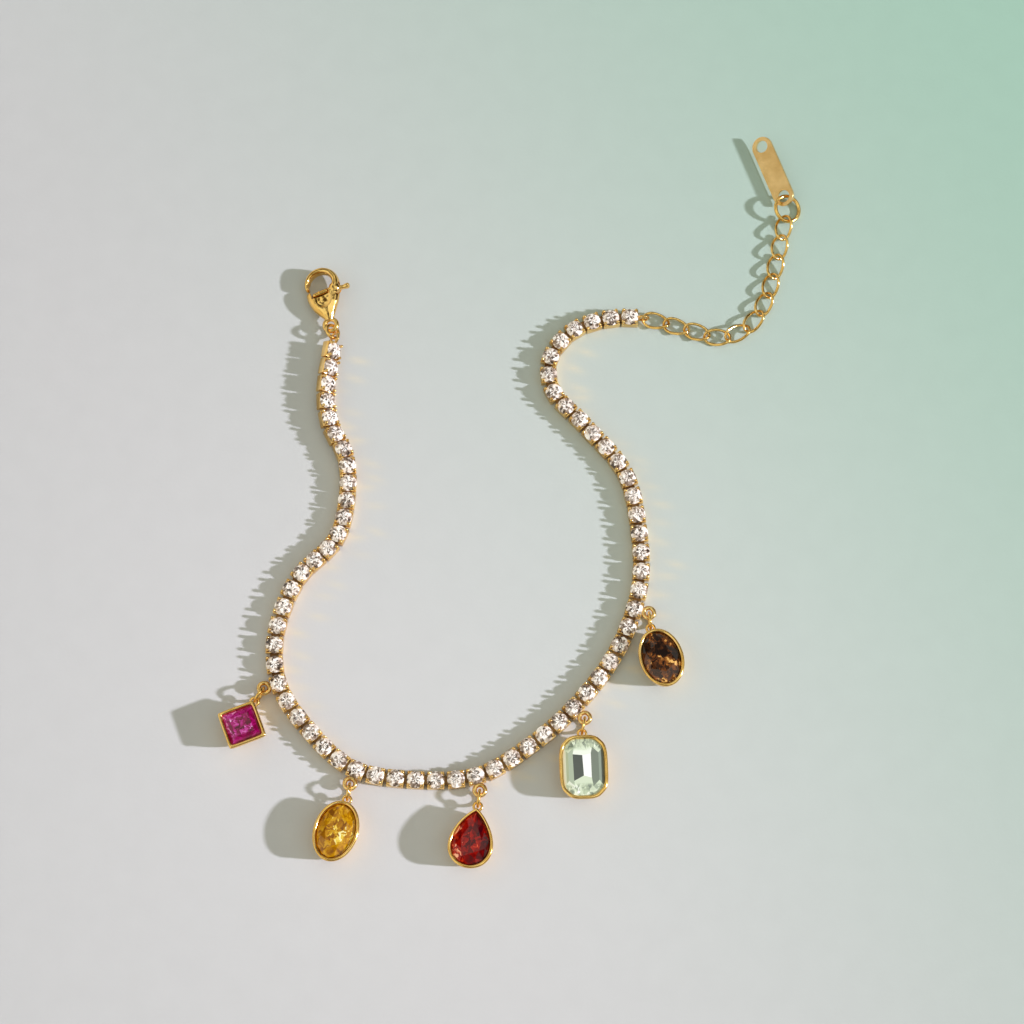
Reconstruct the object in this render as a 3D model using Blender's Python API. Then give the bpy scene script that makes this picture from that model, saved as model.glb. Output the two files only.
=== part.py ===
# A gold tennis bracelet that lies open on a flat surface: a strand of 65 stones in box settings,
# five bezel drops on jump rings, a lobster clasp with a sprung lever, and an extender chain with a tag.
# Seen from above, +Y points up the page, +X to the right, and z = 0 is the surface.

import math

import bmesh
import bpy
from mathutils import Matrix, Vector

mm = 0.001

# One setting of the strand and its round stone
setting_width = 2.4 * mm
setting_length = 2.25 * mm
setting_height = 1.35 * mm
prong_height = 0.62 * mm
prong_depth = 0.42 * mm
stone_inset = 0.04 * mm
crown_height = 0.48 * mm
stone_seat = 0.12 * mm
table_share = 0.56
facet_count = 8

# The strand: how many settings, how far apart, and the hinge bar between two of them
stone_count = 65
closed_count = 14
closed_gap = 0.31 * mm
open_gap = 0.54 * mm
hinge_width = 1.2 * mm
hinge_thickness = 0.6 * mm
hinge_bite = 0.4 * mm
hinge_rise = 0.45 * mm

# The first settings lean over, less and less along the strand
first_roll = math.radians(-47)
rolled_count = 8.5

# The strand's end loops stand on edge, and the drops' loops lie flat at its outer side
end_loop_diameter = 1.9 * mm
side_loop_diameter = 2.1 * mm
loop_wire = 0.42 * mm
loop_bite = 0.12 * mm
side_loop_rise = 1.3 * mm

# Route of the strand and its extender in millimetres, through the middle of the stones
route_points = [
    (-26.7, 20.6), (-27.5, 14.3), (-26.9, 9.6), (-24.7, 4.6), (-24.5, -1.5), (-26.0, -7.5), (-31.3, -13.4),
    (-34.1, -21.3), (-33.5, -28.5), (-29.2, -35.0), (-23.0, -40.4), (-14.5, -42.0), (-5.7, -41.4),
    (1.3, -37.4), (8.0, -31.5), (13.9, -23.5), (17.1, -14.3), (17.0, -5.5), (15.1, 2.5), (9.4, 9.6),
    (5.0, 14.7), (4.6, 19.6), (7.9, 23.9), (13.2, 25.8), (19.1, 25.7), (25.0, 24.1), (29.3, 23.0),
    (33.2, 24.5), (35.9, 28.3), (37.5, 33.3), (39.1, 40.3),
]

# Extender chain of twisted links, its end ring and its tag
link_count = 11
link_wire = 0.42 * mm
link_length = 4.2 * mm
link_width = 2.6 * mm
link_twist = 0.36 * mm
link_slack = 0.28 * mm
link_points = 14
# Some links lie on their neighbours: their rolls in degrees, and their lifts as shares of the wire
link_rolls = {3: 8, 4: 14, 5: 4}
link_lifts = {1: 0.48, 2: 0.17, 3: 0.24, 5: 0.24, 6: 0.12, 9: 0.17, 10: 0.48, 11: 0.81}
end_ring_diameter = 4.4 * mm
end_ring_wire = 0.55 * mm
end_ring_roll = math.radians(22)
tag_length = 11.4 * mm
tag_width = 3.2 * mm
tag_thickness = 0.8 * mm
tag_hole = 1.8 * mm
tag_hole_inset = 1.45 * mm
tag_end_steps = 8
tag_bearing = math.radians(102)
tag_heading = math.radians(110.6)
tag_roll = math.radians(-32)

# Drops on jump rings
jump_ring_diameter = 2.75 * mm
jump_ring_wire = 0.42 * mm
bezel_height = 3.2 * mm
bezel_wall = 0.35 * mm
bezel_taper = 0.9 * mm
bezel_lip = 0.08 * mm
bezel_ledge = 0.4 * mm
bail_diameter = 1.5 * mm
bail_wire = 0.36 * mm
bail_rise = 1.7 * mm
stone_clearance = 0.09 * mm
girdle_thickness = 0.1 * mm
girdle_depth = 0.42 * mm
table_recess = 0.03 * mm
pavilion_depth = 2.1 * mm

# Each drop: the stone that it hangs from, its cut, length and width, and where its ring and it point
drops = [
    {"name": "pink_square", "stone": 21, "cut": "square",
     "length": 5.4 * mm, "width": 5.4 * mm, "ring": -121.7, "lean": -113.8},
    {"name": "citrine_oval", "stone": 27, "cut": "oval",
     "length": 8.5 * mm, "width": 6.2 * mm, "ring": -98.3, "lean": -107.0},
    {"name": "red_pear", "stone": 33, "cut": "pear",
     "length": 8.3 * mm, "width": 6.2 * mm, "ring": -96.8, "lean": -99.9},
    {"name": "pale_octagon", "stone": 39, "cut": "octagon",
     "length": 8.9 * mm, "width": 6.7 * mm, "ring": -100.4, "lean": -88.0},
    {"name": "smoky_oval", "stone": 45, "cut": "oval",
     "length": 8.4 * mm, "width": 6.2 * mm, "ring": -85.2, "lean": -72.8},
]

# Outlines of the drops: the corner cuts as shares of the width, how far they are softened, and the pear's shape
octagon_cut = 0.27
octagon_softening = 0.25
square_cut = 0.09
pear_power = 0.7
bezel_points = 20
stone_points = 16

# A bezel's outer wall from foot to rim: shares of its height, and of its taper going in
bezel_wall_profile = [(0.0, 1.0), (0.4, 0.3), (0.8, 0.09)]
bezel_undercut = 0.6

# A drop's stone: shares of its half width going in, and of the depth of its pavilion or crown
pavilion_profile = [(0.92, 1.0), (0.5, 0.5), (0.0, 0.0)]
crown_profile = [(0.0, 0.0), (0.2, 0.76), (0.42, 1.0)]

# Lobster clasp, seen from above with its eyelet at the origin and its claw up the page
connector_diameter = 2.55 * mm
connector_wire = 0.42 * mm
connector_roll = math.radians(40)
connector_heading = math.radians(106)
clasp_heading = math.radians(100)
clasp_roll = math.radians(-10)
clasp_height = 1.45 * mm
eyelet_diameter = 2.5 * mm
eyelet_wire = 0.6 * mm
eyelet_sides = 14
claw_width = 5.2 * mm
claw_length = 5.1 * mm
claw_thickness = 2.2 * mm
claw_wall = 0.8 * mm
claw_tip_share = 0.7
claw_steps = 14
claw_middle = (-0.25 * mm, 6.4 * mm)
claw_start = math.radians(-32)
claw_end = math.radians(196)
base_top = 5.0 * mm
pivot_shares = (0.81, -0.45)
cheek_radius = 0.85 * mm
rivet_radius = 0.3 * mm
rivet_length = 2.1 * mm
rivet_clearance = 0.08 * mm
hub_radius = 0.72 * mm
hub_thickness = 1.0 * mm
lever_clearance = 0.1 * mm
gate_tip_gap = 0.27 * mm
gate_width = 0.55 * mm
gate_thickness = 1.7 * mm
gate_angle = math.radians(190.6)
tab_length = 2.2 * mm
tab_width = 0.75 * mm
tab_angle = math.radians(-2)
lever_swing = math.radians(25)
recess_radius = 1.15 * mm
recess_depth = 0.75 * mm
recess_along = 4.3 * mm

# The claw and the base have eight-sided sections, whose flats are these shares of the thickness and the width
claw_edges = (0.6, 0.4)
base_edges = (0.45, 0.7)

# Sections of the clasp's base from neck to shoulder: shares of base_top, of half the claw's width and of its
# thickness
base_sections = [
    {"along": 0.17, "middle": -0.02, "half_width": 0.27, "thickness": 0.46},
    {"along": 0.34, "middle": -0.10, "half_width": 0.42, "thickness": 0.72},
    {"along": 0.54, "middle": -0.13, "half_width": 0.68, "thickness": 0.92},
    {"along": 0.74, "middle": -0.14, "half_width": 0.88, "thickness": 1.0},
    {"along": 1.0, "middle": -0.13, "half_width": 0.95, "thickness": 1.0},
]

# Faces that meet at less than this angle are shaded smooth
smooth_angle = math.radians(35)
hole_sides = 12


def clear_scene():
    for obj in list(bpy.data.objects):
        bpy.data.objects.remove(obj, do_unlink=True)


def new_collection(name):
    collection = bpy.data.collections.new(name)
    bpy.context.scene.collection.children.link(collection)
    return collection


def principled(name, color, roughness, metallic=0.0, transmission=0.0):
    material = bpy.data.materials.new(name)
    material.use_nodes = True
    shader = material.node_tree.nodes["Principled BSDF"]
    shader.inputs["Base Color"].default_value = (*color, 1.0)
    shader.inputs["Roughness"].default_value = roughness
    shader.inputs["Metallic"].default_value = metallic
    shader.inputs["Transmission Weight"].default_value = transmission
    return material


clear_scene()
parts = new_collection("tennis_bracelet")
cutters = new_collection("cutters")

gold = {"color": (0.86, 0.58, 0.2), "roughness": 0.15, "metallic": 1.0}
stone_colors = {
    "pink_square": (0.55, 0.03, 0.2), "citrine_oval": (0.9, 0.5, 0.08), "red_pear": (0.4, 0.01, 0.02),
    "pale_octagon": (0.78, 0.84, 0.7), "smoky_oval": (0.16, 0.07, 0.03),
}


def place_object(obj, name, matrix, color, cutter=False):
    obj.name = name
    obj.data.name = name
    for old in list(obj.users_collection):
        old.objects.unlink(obj)
    (cutters if cutter else parts).objects.link(obj)
    obj.matrix_world = matrix
    if cutter:
        obj.hide_render = True
        obj.display_type = "WIRE"
        return obj
    obj.data.materials.clear()
    obj.data.materials.append(principled(name, **color))
    return obj


def mesh_object(name, bm, matrix=Matrix.Identity(4), color=gold, cutter=False, smooth=False):
    mesh = bpy.data.meshes.new(name)
    bm.to_mesh(mesh)
    bm.free()
    if smooth:
        mesh.shade_smooth()
        mesh.set_sharp_from_angle(angle=smooth_angle)
    return place_object(bpy.data.objects.new(name, mesh), name, matrix, color, cutter)


def loft(rings, closed=False):
    # Joins rings of equally many points, capped at both ends, or back to the first ring when closed.
    bm = bmesh.new()
    rows = [[bm.verts.new(point) for point in ring] for ring in rings]
    following = rows[1:] + rows[:1] if closed else rows[1:]
    for row, following_row in zip(rows, following):
        for i in range(len(row)):
            j = (i + 1) % len(row)
            bm.faces.new((row[i], row[j], following_row[j], following_row[i]))
    if not closed:
        bm.faces.new(rows[0])
        bm.faces.new(rows[-1])
    bmesh.ops.recalc_face_normals(bm, faces=bm.faces)
    return bm


def box(size, place=(0, 0, 0), turn=0.0):
    bm = bmesh.new()
    bmesh.ops.create_cube(bm, size=1.0)
    bmesh.ops.scale(bm, vec=size, verts=bm.verts)
    bmesh.ops.transform(bm, matrix=Matrix.Translation(place) @ Matrix.Rotation(turn, 4, "Z"), verts=bm.verts)
    return bm


def cylinder(radius, depth, place=(0, 0, 0), sides=16, top_radius=None, turn=0.0):
    bm = bmesh.new()
    upper = radius if top_radius is None else top_radius
    bmesh.ops.create_cone(bm, cap_ends=True, segments=sides, radius1=radius, radius2=upper, depth=depth)
    bmesh.ops.transform(bm, matrix=Matrix.Translation(place) @ Matrix.Rotation(turn, 4, "Z"), verts=bm.verts)
    return bm


def ring_object(name, diameter, wire, matrix, color=gold, cutter=False, segments=12, sides=6):
    # A round ring whose middle is the matrix's origin and whose hole faces the matrix's Z axis.
    bpy.ops.mesh.primitive_torus_add(major_segments=segments, minor_segments=sides,
                                     major_radius=(diameter - wire) / 2, minor_radius=wire / 2)
    obj = bpy.context.active_object
    obj.data.shade_smooth()
    return place_object(obj, name, matrix, color, cutter)


def combine(target, other, operation):
    modifier = target.modifiers.new(f"{operation.lower()}_{other.name}", "BOOLEAN")
    modifier.operation = operation
    modifier.object = other
    modifier.solver = "EXACT"


def evaluated_mesh(obj):
    bpy.context.view_layer.update()
    return bpy.data.meshes.new_from_object(obj.evaluated_get(bpy.context.evaluated_depsgraph_get()))


def heading_matrix(place, heading, roll=0.0):
    # X runs along the heading in the level plane, Z up, and a positive roll tips the top to the right.
    return Matrix.Translation(place) @ Matrix.Rotation(heading, 4, "Z") @ Matrix.Rotation(roll, 4, "X")


# The route as a smooth curve that is read by its length
def smooth_route(points, steps=16):
    nodes = [Vector(point) * mm for point in points]
    spans = [(after - before).length for before, after in zip(nodes, nodes[1:])]
    tangents = []
    for i in range(len(nodes)):
        first = max(i - 1, 0)
        last = min(i + 1, len(nodes) - 1)
        tangents.append((nodes[last] - nodes[first]) / sum(spans[first:last]))
    curve = []
    for i, span in enumerate(spans):
        for step in range(steps):
            t = step / steps
            start = nodes[i] * (2 * t**3 - 3 * t**2 + 1) + tangents[i] * span * (t**3 - 2 * t**2 + t)
            end = nodes[i + 1] * (3 * t**2 - 2 * t**3) + tangents[i + 1] * span * (t**3 - t**2)
            curve.append(start + end)
    curve.append(nodes[-1])
    lengths = [0.0]
    for before, after in zip(curve, curve[1:]):
        lengths.append(lengths[-1] + (after - before).length)
    return curve, lengths


route, route_lengths = smooth_route(route_points)


def on_route(distance):
    # Past either end the route runs on straight.
    last = len(route) - 2
    i = 0
    while i < last and route_lengths[i + 1] < distance:
        i += 1
    share = (distance - route_lengths[i]) / (route_lengths[i + 1] - route_lengths[i])
    return route[i] + (route[i + 1] - route[i]) * share


def route_matrix(distance, reach, height, roll=0.0):
    ahead = on_route(distance + reach)
    behind = on_route(distance - reach)
    heading = math.atan2(ahead.y - behind.y, ahead.x - behind.x)
    place = on_route(distance)
    return heading_matrix((place.x, place.y, height), heading, roll)


# The strand
def setting_distance(number):
    closed = min(number - 1, closed_count)
    opened = number - 1 - closed
    return closed * (setting_length + closed_gap) + opened * (setting_length + open_gap)


def setting_roll(number):
    return first_roll * max(0.0, 1 - (number - 1) / rolled_count)


def setting_matrix(distance, roll):
    # The setting's foot is its origin. It rolls about its stone's girdle and stands on its lowest corner.
    girdle_height = setting_width / 2 * math.sin(abs(roll)) + setting_height * math.cos(roll)
    girdle = route_matrix(distance, setting_length / 2, girdle_height, roll)
    return girdle @ Matrix.Translation((0, 0, -setting_height))


def build_setting():
    # A box cup with a corner prong at each corner, and a stone with an eight-sided table and crown.
    full_height = setting_height + prong_height
    half_facet = math.pi / facet_count
    flat_to_corner = 1 / math.cos(half_facet)
    corner_reach = math.hypot(setting_width, setting_length) / 2
    inner_reach = corner_reach - prong_depth
    cup = mesh_object("setting_cup", box((setting_length, setting_width, full_height), (0, 0, full_height / 2)),
                      cutter=True)
    well_size = (inner_reach * flat_to_corner, 2 * prong_height)
    well = cylinder(*well_size, (0, 0, full_height), facet_count, turn=half_facet)
    combine(cup, mesh_object("setting_well", well, cutter=True), "DIFFERENCE")
    crown_depth = crown_height + stone_seat
    girdle_radius = min(setting_width, setting_length) / 2 - stone_inset
    crown = cylinder(girdle_radius * flat_to_corner, crown_depth,
                     (0, 0, setting_height + (crown_height - stone_seat) / 2), facet_count,
                     girdle_radius * table_share * flat_to_corner, turn=half_facet)
    combine(cup, mesh_object("setting_stone", crown, cutter=True), "UNION")
    return evaluated_mesh(cup)


def joined(pieces):
    # One mesh from pairs of a mesh and the matrix that places it.
    bm = bmesh.new()
    for mesh, matrix in pieces:
        start = len(bm.verts)
        bm.from_mesh(mesh)
        bm.verts.ensure_lookup_table()
        bmesh.ops.transform(bm, matrix=matrix, verts=bm.verts[start:])
    return bm


def hinge_piece(number):
    before = setting_distance(number)
    after = setting_distance(number + 1)
    roll = (setting_roll(number) + setting_roll(number + 1)) / 2
    size = (after - before - setting_length + 2 * hinge_bite, hinge_width, hinge_thickness)
    bm = box(size, (0, 0, hinge_rise + hinge_thickness / 2))
    mesh = bpy.data.meshes.new("hinge")
    bm.to_mesh(mesh)
    bm.free()
    return mesh, setting_matrix((before + after) / 2, roll)


def end_loop_matrix(number, side):
    # The loop stands on edge past the first or last setting, on the line of the strand.
    reach = setting_length / 2 + end_loop_diameter / 2 - loop_bite
    at_setting = setting_matrix(setting_distance(number), setting_roll(number))
    place = Matrix.Translation((side * reach, 0, end_loop_diameter / 2))
    return at_setting @ place @ Matrix.Rotation(math.pi / 2, 4, "X")


def side_loop_matrix(number):
    reach = setting_width / 2 + side_loop_diameter / 2 - loop_bite
    at_setting = setting_matrix(setting_distance(number), setting_roll(number))
    return at_setting @ Matrix.Translation((0, -reach, side_loop_rise))


def build_strand():
    setting = build_setting()
    placed = [setting_matrix(setting_distance(n), setting_roll(n)) for n in range(1, stone_count + 1)]
    strand = mesh_object("stone_strand", joined([(setting, matrix) for matrix in placed[0::2]]))
    evens = mesh_object("even_settings", joined([(setting, matrix) for matrix in placed[1::2]]), cutter=True)
    hinges = mesh_object("hinges", joined([hinge_piece(n) for n in range(1, stone_count)]), cutter=True)
    loops = []
    for name, number, side in (("first_end_loop", 1, -1), ("last_end_loop", stone_count, 1)):
        matrix = end_loop_matrix(number, side)
        loops.append(ring_object(name, end_loop_diameter, loop_wire, matrix, cutter=True))
    for drop in drops:
        name = f"{drop['name']}_side_loop"
        matrix = side_loop_matrix(drop["stone"])
        loops.append(ring_object(name, side_loop_diameter, loop_wire, matrix, cutter=True))
    combine(strand, evens, "UNION")
    combine(strand, hinges, "UNION")
    for loop in loops:
        combine(strand, loop, "UNION")


# Drops
def oval_outline(length, width, count):
    turns = [2 * math.pi * i / count for i in range(count)]
    return [Vector((length / 2 * math.cos(t), width / 2 * math.sin(t))) for t in turns]


def pear_outline(length, width, count):
    # A teardrop with its tip at +X, as wide as asked at its fullest.
    turns = [2 * math.pi * i / count for i in range(count)]
    heights = [math.sin(t) * math.sin(t / 2) ** pear_power for t in turns]
    fullest = max(heights)
    return [Vector((length / 2 * math.cos(t), width / 2 * h / fullest)) for t, h in zip(turns, heights)]


def cut_outline(length, width, cut):
    # The corners of a rectangle whose own corners are cut off.
    x = length / 2
    y = width / 2
    corners = [(x, y - cut), (x - cut, y), (cut - x, y), (-x, y - cut),
               (-x, cut - y), (cut - x, -y), (x - cut, -y), (x, cut - y)]
    return [Vector(corner) for corner in corners]


def softened(corners, share):
    # Two points for each corner, a share of the way to its neighbours.
    outline = []
    for i, corner in enumerate(corners):
        outline.append(corner.lerp(corners[i - 1], share))
        outline.append(corner.lerp(corners[(i + 1) % len(corners)], share))
    return outline


def drop_outline(cut, length, width, count):
    if cut == "oval":
        return oval_outline(length, width, count)
    if cut == "pear":
        return pear_outline(length, width, count)
    if cut == "octagon":
        return softened(cut_outline(length, width, width * octagon_cut), octagon_softening)
    corner_turn = Matrix.Rotation(math.pi / 4, 2)
    return [corner_turn @ point for point in cut_outline(length, width, width * square_cut)]


def drop_ring(drop, inset, height, count=bezel_points):
    length = drop["length"] - 2 * inset
    width = drop["width"] - 2 * inset
    return [Vector((point.x, point.y, height)) for point in drop_outline(drop["cut"], length, width, count)]


def wall_inset(height):
    # How far the bezel's outer wall lies inside its rim at a height.
    for (low, inset), (high, next_inset) in zip(bezel_wall_profile, bezel_wall_profile[1:]):
        if height <= high * bezel_height:
            share = (height / bezel_height - low) / (high - low)
            return bezel_taper * (inset + (next_inset - inset) * share)
    return bezel_lip


def bezel_sections(drop):
    # Up the outer wall, over the rim, down to the ledge under the stone's girdle, and out at the open back.
    seat_height = bezel_height - girdle_depth - girdle_thickness - bezel_ledge
    sections = [(bezel_taper * inset, bezel_height * height) for height, inset in bezel_wall_profile]
    sections.append((0.0, bezel_height - bezel_lip))
    sections.append((bezel_wall / 2, bezel_height))
    sections.append((bezel_wall, bezel_height - bezel_lip))
    sections.append((bezel_wall, seat_height + bezel_ledge * bezel_undercut))
    sections.append((bezel_wall + bezel_ledge, seat_height))
    sections.append((bezel_wall + bezel_taper, 0.0))
    return [drop_ring(drop, inset, height) for inset, height in sections]


def stone_sections(drop):
    # Culet, pavilion, girdle, crown step and table.
    inset = bezel_wall + stone_clearance
    half = drop["width"] / 2 - inset
    girdle_top = bezel_height - girdle_depth
    girdle_foot = girdle_top - girdle_thickness
    crown_depth = girdle_depth - table_recess
    sections = [(inward, girdle_foot - pavilion_depth * down) for inward, down in pavilion_profile]
    sections += [(inward, girdle_top + crown_depth * up) for inward, up in crown_profile]
    return [drop_ring(drop, inset + half * inward, height, stone_points) for inward, height in sections]


def build_drop(drop):
    name = drop["name"]
    loop_centre = side_loop_matrix(drop["stone"]).translation
    ring_heading = math.radians(drop["ring"])
    ring_way = Vector((math.cos(ring_heading), math.sin(ring_heading), 0))
    ring_reach = (jump_ring_diameter - jump_ring_wire) / 2
    ring_centre = Vector((loop_centre.x, loop_centre.y, jump_ring_diameter / 2)) + ring_way * ring_reach
    upright = Matrix.Translation(ring_centre) @ Matrix.Rotation(ring_heading, 4, "Z")
    on_edge = upright @ Matrix.Rotation(math.pi / 2, 4, "X")
    ring_object(f"{name}_jump_ring", jump_ring_diameter, jump_ring_wire, on_edge)

    bail_centre = ring_centre + ring_way * ring_reach
    lean = math.radians(drop["lean"])
    bezel = mesh_object(f"{name}_bezel", loft(bezel_sections(drop), closed=True), smooth=True)
    wall_reach = max(point.x for point in drop_ring(drop, wall_inset(bail_rise), bail_rise))
    bail_reach = wall_reach + bail_diameter / 2 - loop_bite
    # The drop's own +X points back at its bail.
    lean_way = Vector((math.cos(lean), math.sin(lean), 0))
    centre = Vector((bail_centre.x, bail_centre.y, 0)) + lean_way * bail_reach
    placed = heading_matrix(centre, lean + math.pi)
    bezel.matrix_world = placed
    bail_place = placed @ Matrix.Translation((bail_reach, 0, bail_rise))
    bail = ring_object(f"{name}_bail", bail_diameter, bail_wire, bail_place, cutter=True)
    combine(bezel, bail, "UNION")
    tint = {"color": stone_colors[name], "roughness": 0.03, "transmission": 0.9}
    mesh_object(f"{name}_stone", loft(stone_sections(drop)), placed, tint)


# Extender chain, end ring and tag
def link_pitch():
    return link_length - 2 * link_wire - link_slack


def link_distance(number):
    loop_place = setting_length / 2 + end_loop_diameter / 2 - loop_bite
    first = setting_distance(stone_count) + loop_place + (link_length - link_wire) / 2
    return first + (number - 1) * link_pitch()


def build_link(number):
    # A flat oval whose two ends twist the same way, so that each link passes through the next one.
    curve = bpy.data.curves.new("link", "CURVE")
    curve.dimensions = "3D"
    curve.bevel_depth = link_wire / 2
    curve.bevel_resolution = 1
    spline = curve.splines.new("POLY")
    spline.use_cyclic_u = True
    spline.points.add(link_points - 1)
    for i, point in enumerate(spline.points):
        turn = 2 * math.pi * i / link_points
        along = (link_length - link_wire) / 2 * math.cos(turn)
        across = (link_width - link_wire) / 2 * math.sin(turn)
        point.co = (along, across, -link_twist * math.sin(2 * turn), 1.0)
    name = f"extender_link_{number:02d}"
    roll = math.radians(link_rolls.get(number, 0))
    rolled = Matrix.Rotation(roll, 3, "X")
    lowest = min((rolled @ point.co.xyz).z for point in spline.points)
    height = link_wire / 2 - lowest + link_lifts.get(number, 0) * link_wire
    matrix = route_matrix(link_distance(number), link_pitch() / 2, height, roll)
    place_object(bpy.data.objects.new(name, curve), name, matrix, gold)


def end_ring_matrix():
    ring_radius = (end_ring_diameter - end_ring_wire) / 2
    hold = (link_length - link_wire) / 2 - (link_wire + end_ring_wire) / 2 - link_slack
    height = ring_radius * math.sin(abs(end_ring_roll)) + end_ring_wire / 2
    return route_matrix(link_distance(link_count) + hold + ring_radius, ring_radius, height, end_ring_roll)


def build_tag():
    ring = end_ring_matrix()
    ring_object("end_ring", end_ring_diameter, end_ring_wire, ring)
    ring_radius = (end_ring_diameter - end_ring_wire) / 2
    level = ring.translation + ring_radius * Vector((math.cos(tag_bearing), math.sin(tag_bearing), 0))
    middle_height = tag_thickness / 2 * math.cos(tag_roll) + tag_width / 2 * math.sin(-tag_roll)
    placed = heading_matrix((level.x, level.y, middle_height), tag_heading, tag_roll)

    radius = tag_width / 2
    hole_spacing = tag_length - 2 * tag_hole_inset
    rings = []
    for height in (-tag_thickness / 2, tag_thickness / 2):
        ring = []
        ends = [(hole_spacing + tag_hole_inset - radius, -math.pi / 2), (radius - tag_hole_inset, math.pi / 2)]
        for end, start in ends:
            for step in range(tag_end_steps + 1):
                turn = start + step * math.pi / tag_end_steps
                ring.append(Vector((end + radius * math.cos(turn), radius * math.sin(turn), height)))
        rings.append(ring)
    tag = mesh_object("tag_plate", loft(rings), placed, smooth=True)
    for where in (0.0, hole_spacing):
        hole = cylinder(tag_hole / 2, 2 * tag_thickness, (where, 0, 0), hole_sides)
        combine(tag, mesh_object("tag_hole", hole, placed, cutter=True), "DIFFERENCE")


# Lobster clasp
def connector_way():
    return Vector((math.cos(connector_heading), math.sin(connector_heading), 0))


def eyelet_place():
    loop_centre = end_loop_matrix(1, -1).translation
    return loop_centre + connector_way() * (connector_diameter - connector_wire)


def clasp_matrix():
    # The clasp's drawing has its claw along +Y, so its heading is turned back by a quarter.
    place = eyelet_place()
    upright = heading_matrix((place.x, place.y, clasp_height), clasp_heading, clasp_roll)
    return upright @ Matrix.Rotation(-math.pi / 2, 4, "Z")


def edged_section(edges):
    # A rectangle's eight corners once its edges are cut, as shares of its half width and half thickness.
    side, top = edges
    return [(1, -side), (1, side), (top, 1), (-top, 1), (-1, side), (-1, -side), (-top, -1), (top, -1)]


def claw_bar():
    # Thick where it leaves the base, thinner at its tip, with its four long edges cut.
    rings = []
    for step in range(claw_steps + 1):
        share = step / claw_steps
        turn = claw_start + share * (claw_end - claw_start)
        outward = Vector((math.cos(turn), math.sin(turn), 0))
        reach = Vector(((claw_width - claw_wall) / 2 * outward.x, (claw_length - claw_wall) / 2 * outward.y, 0))
        middle = Vector((*claw_middle, 0)) + reach
        taper = 1 - share * (1 - claw_tip_share)
        half = claw_wall / 2 * taper
        deep = claw_thickness / 2 * taper
        corners = edged_section(claw_edges)
        rings.append([middle + outward * half * x + Vector((0, 0, deep * z)) for x, z in corners])
    return loft(rings)


def clasp_base():
    rings = []
    for section in base_sections:
        half = claw_width / 2 * section["half_width"]
        deep = claw_thickness / 2 * section["thickness"]
        middle = claw_width / 2 * section["middle"]
        along = base_top * section["along"]
        rings.append([Vector((middle + half * x, along, deep * z)) for x, z in edged_section(base_edges)])
    return loft(rings)


def pivot_place():
    # Near the start of the claw's line, at shares of its half width and half length.
    reach = Vector(((claw_width - claw_wall) / 2, (claw_length - claw_wall) / 2, 0))
    return Vector((*claw_middle, 0)) + reach * Vector((*pivot_shares, 0))


def gate_length():
    # From the pivot across the claw, to a gap short of its inner wall.
    inner_wall = claw_middle[0] - claw_width / 2 + claw_wall
    return (pivot_place().x - inner_wall - gate_tip_gap) / -math.cos(gate_angle)


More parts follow.
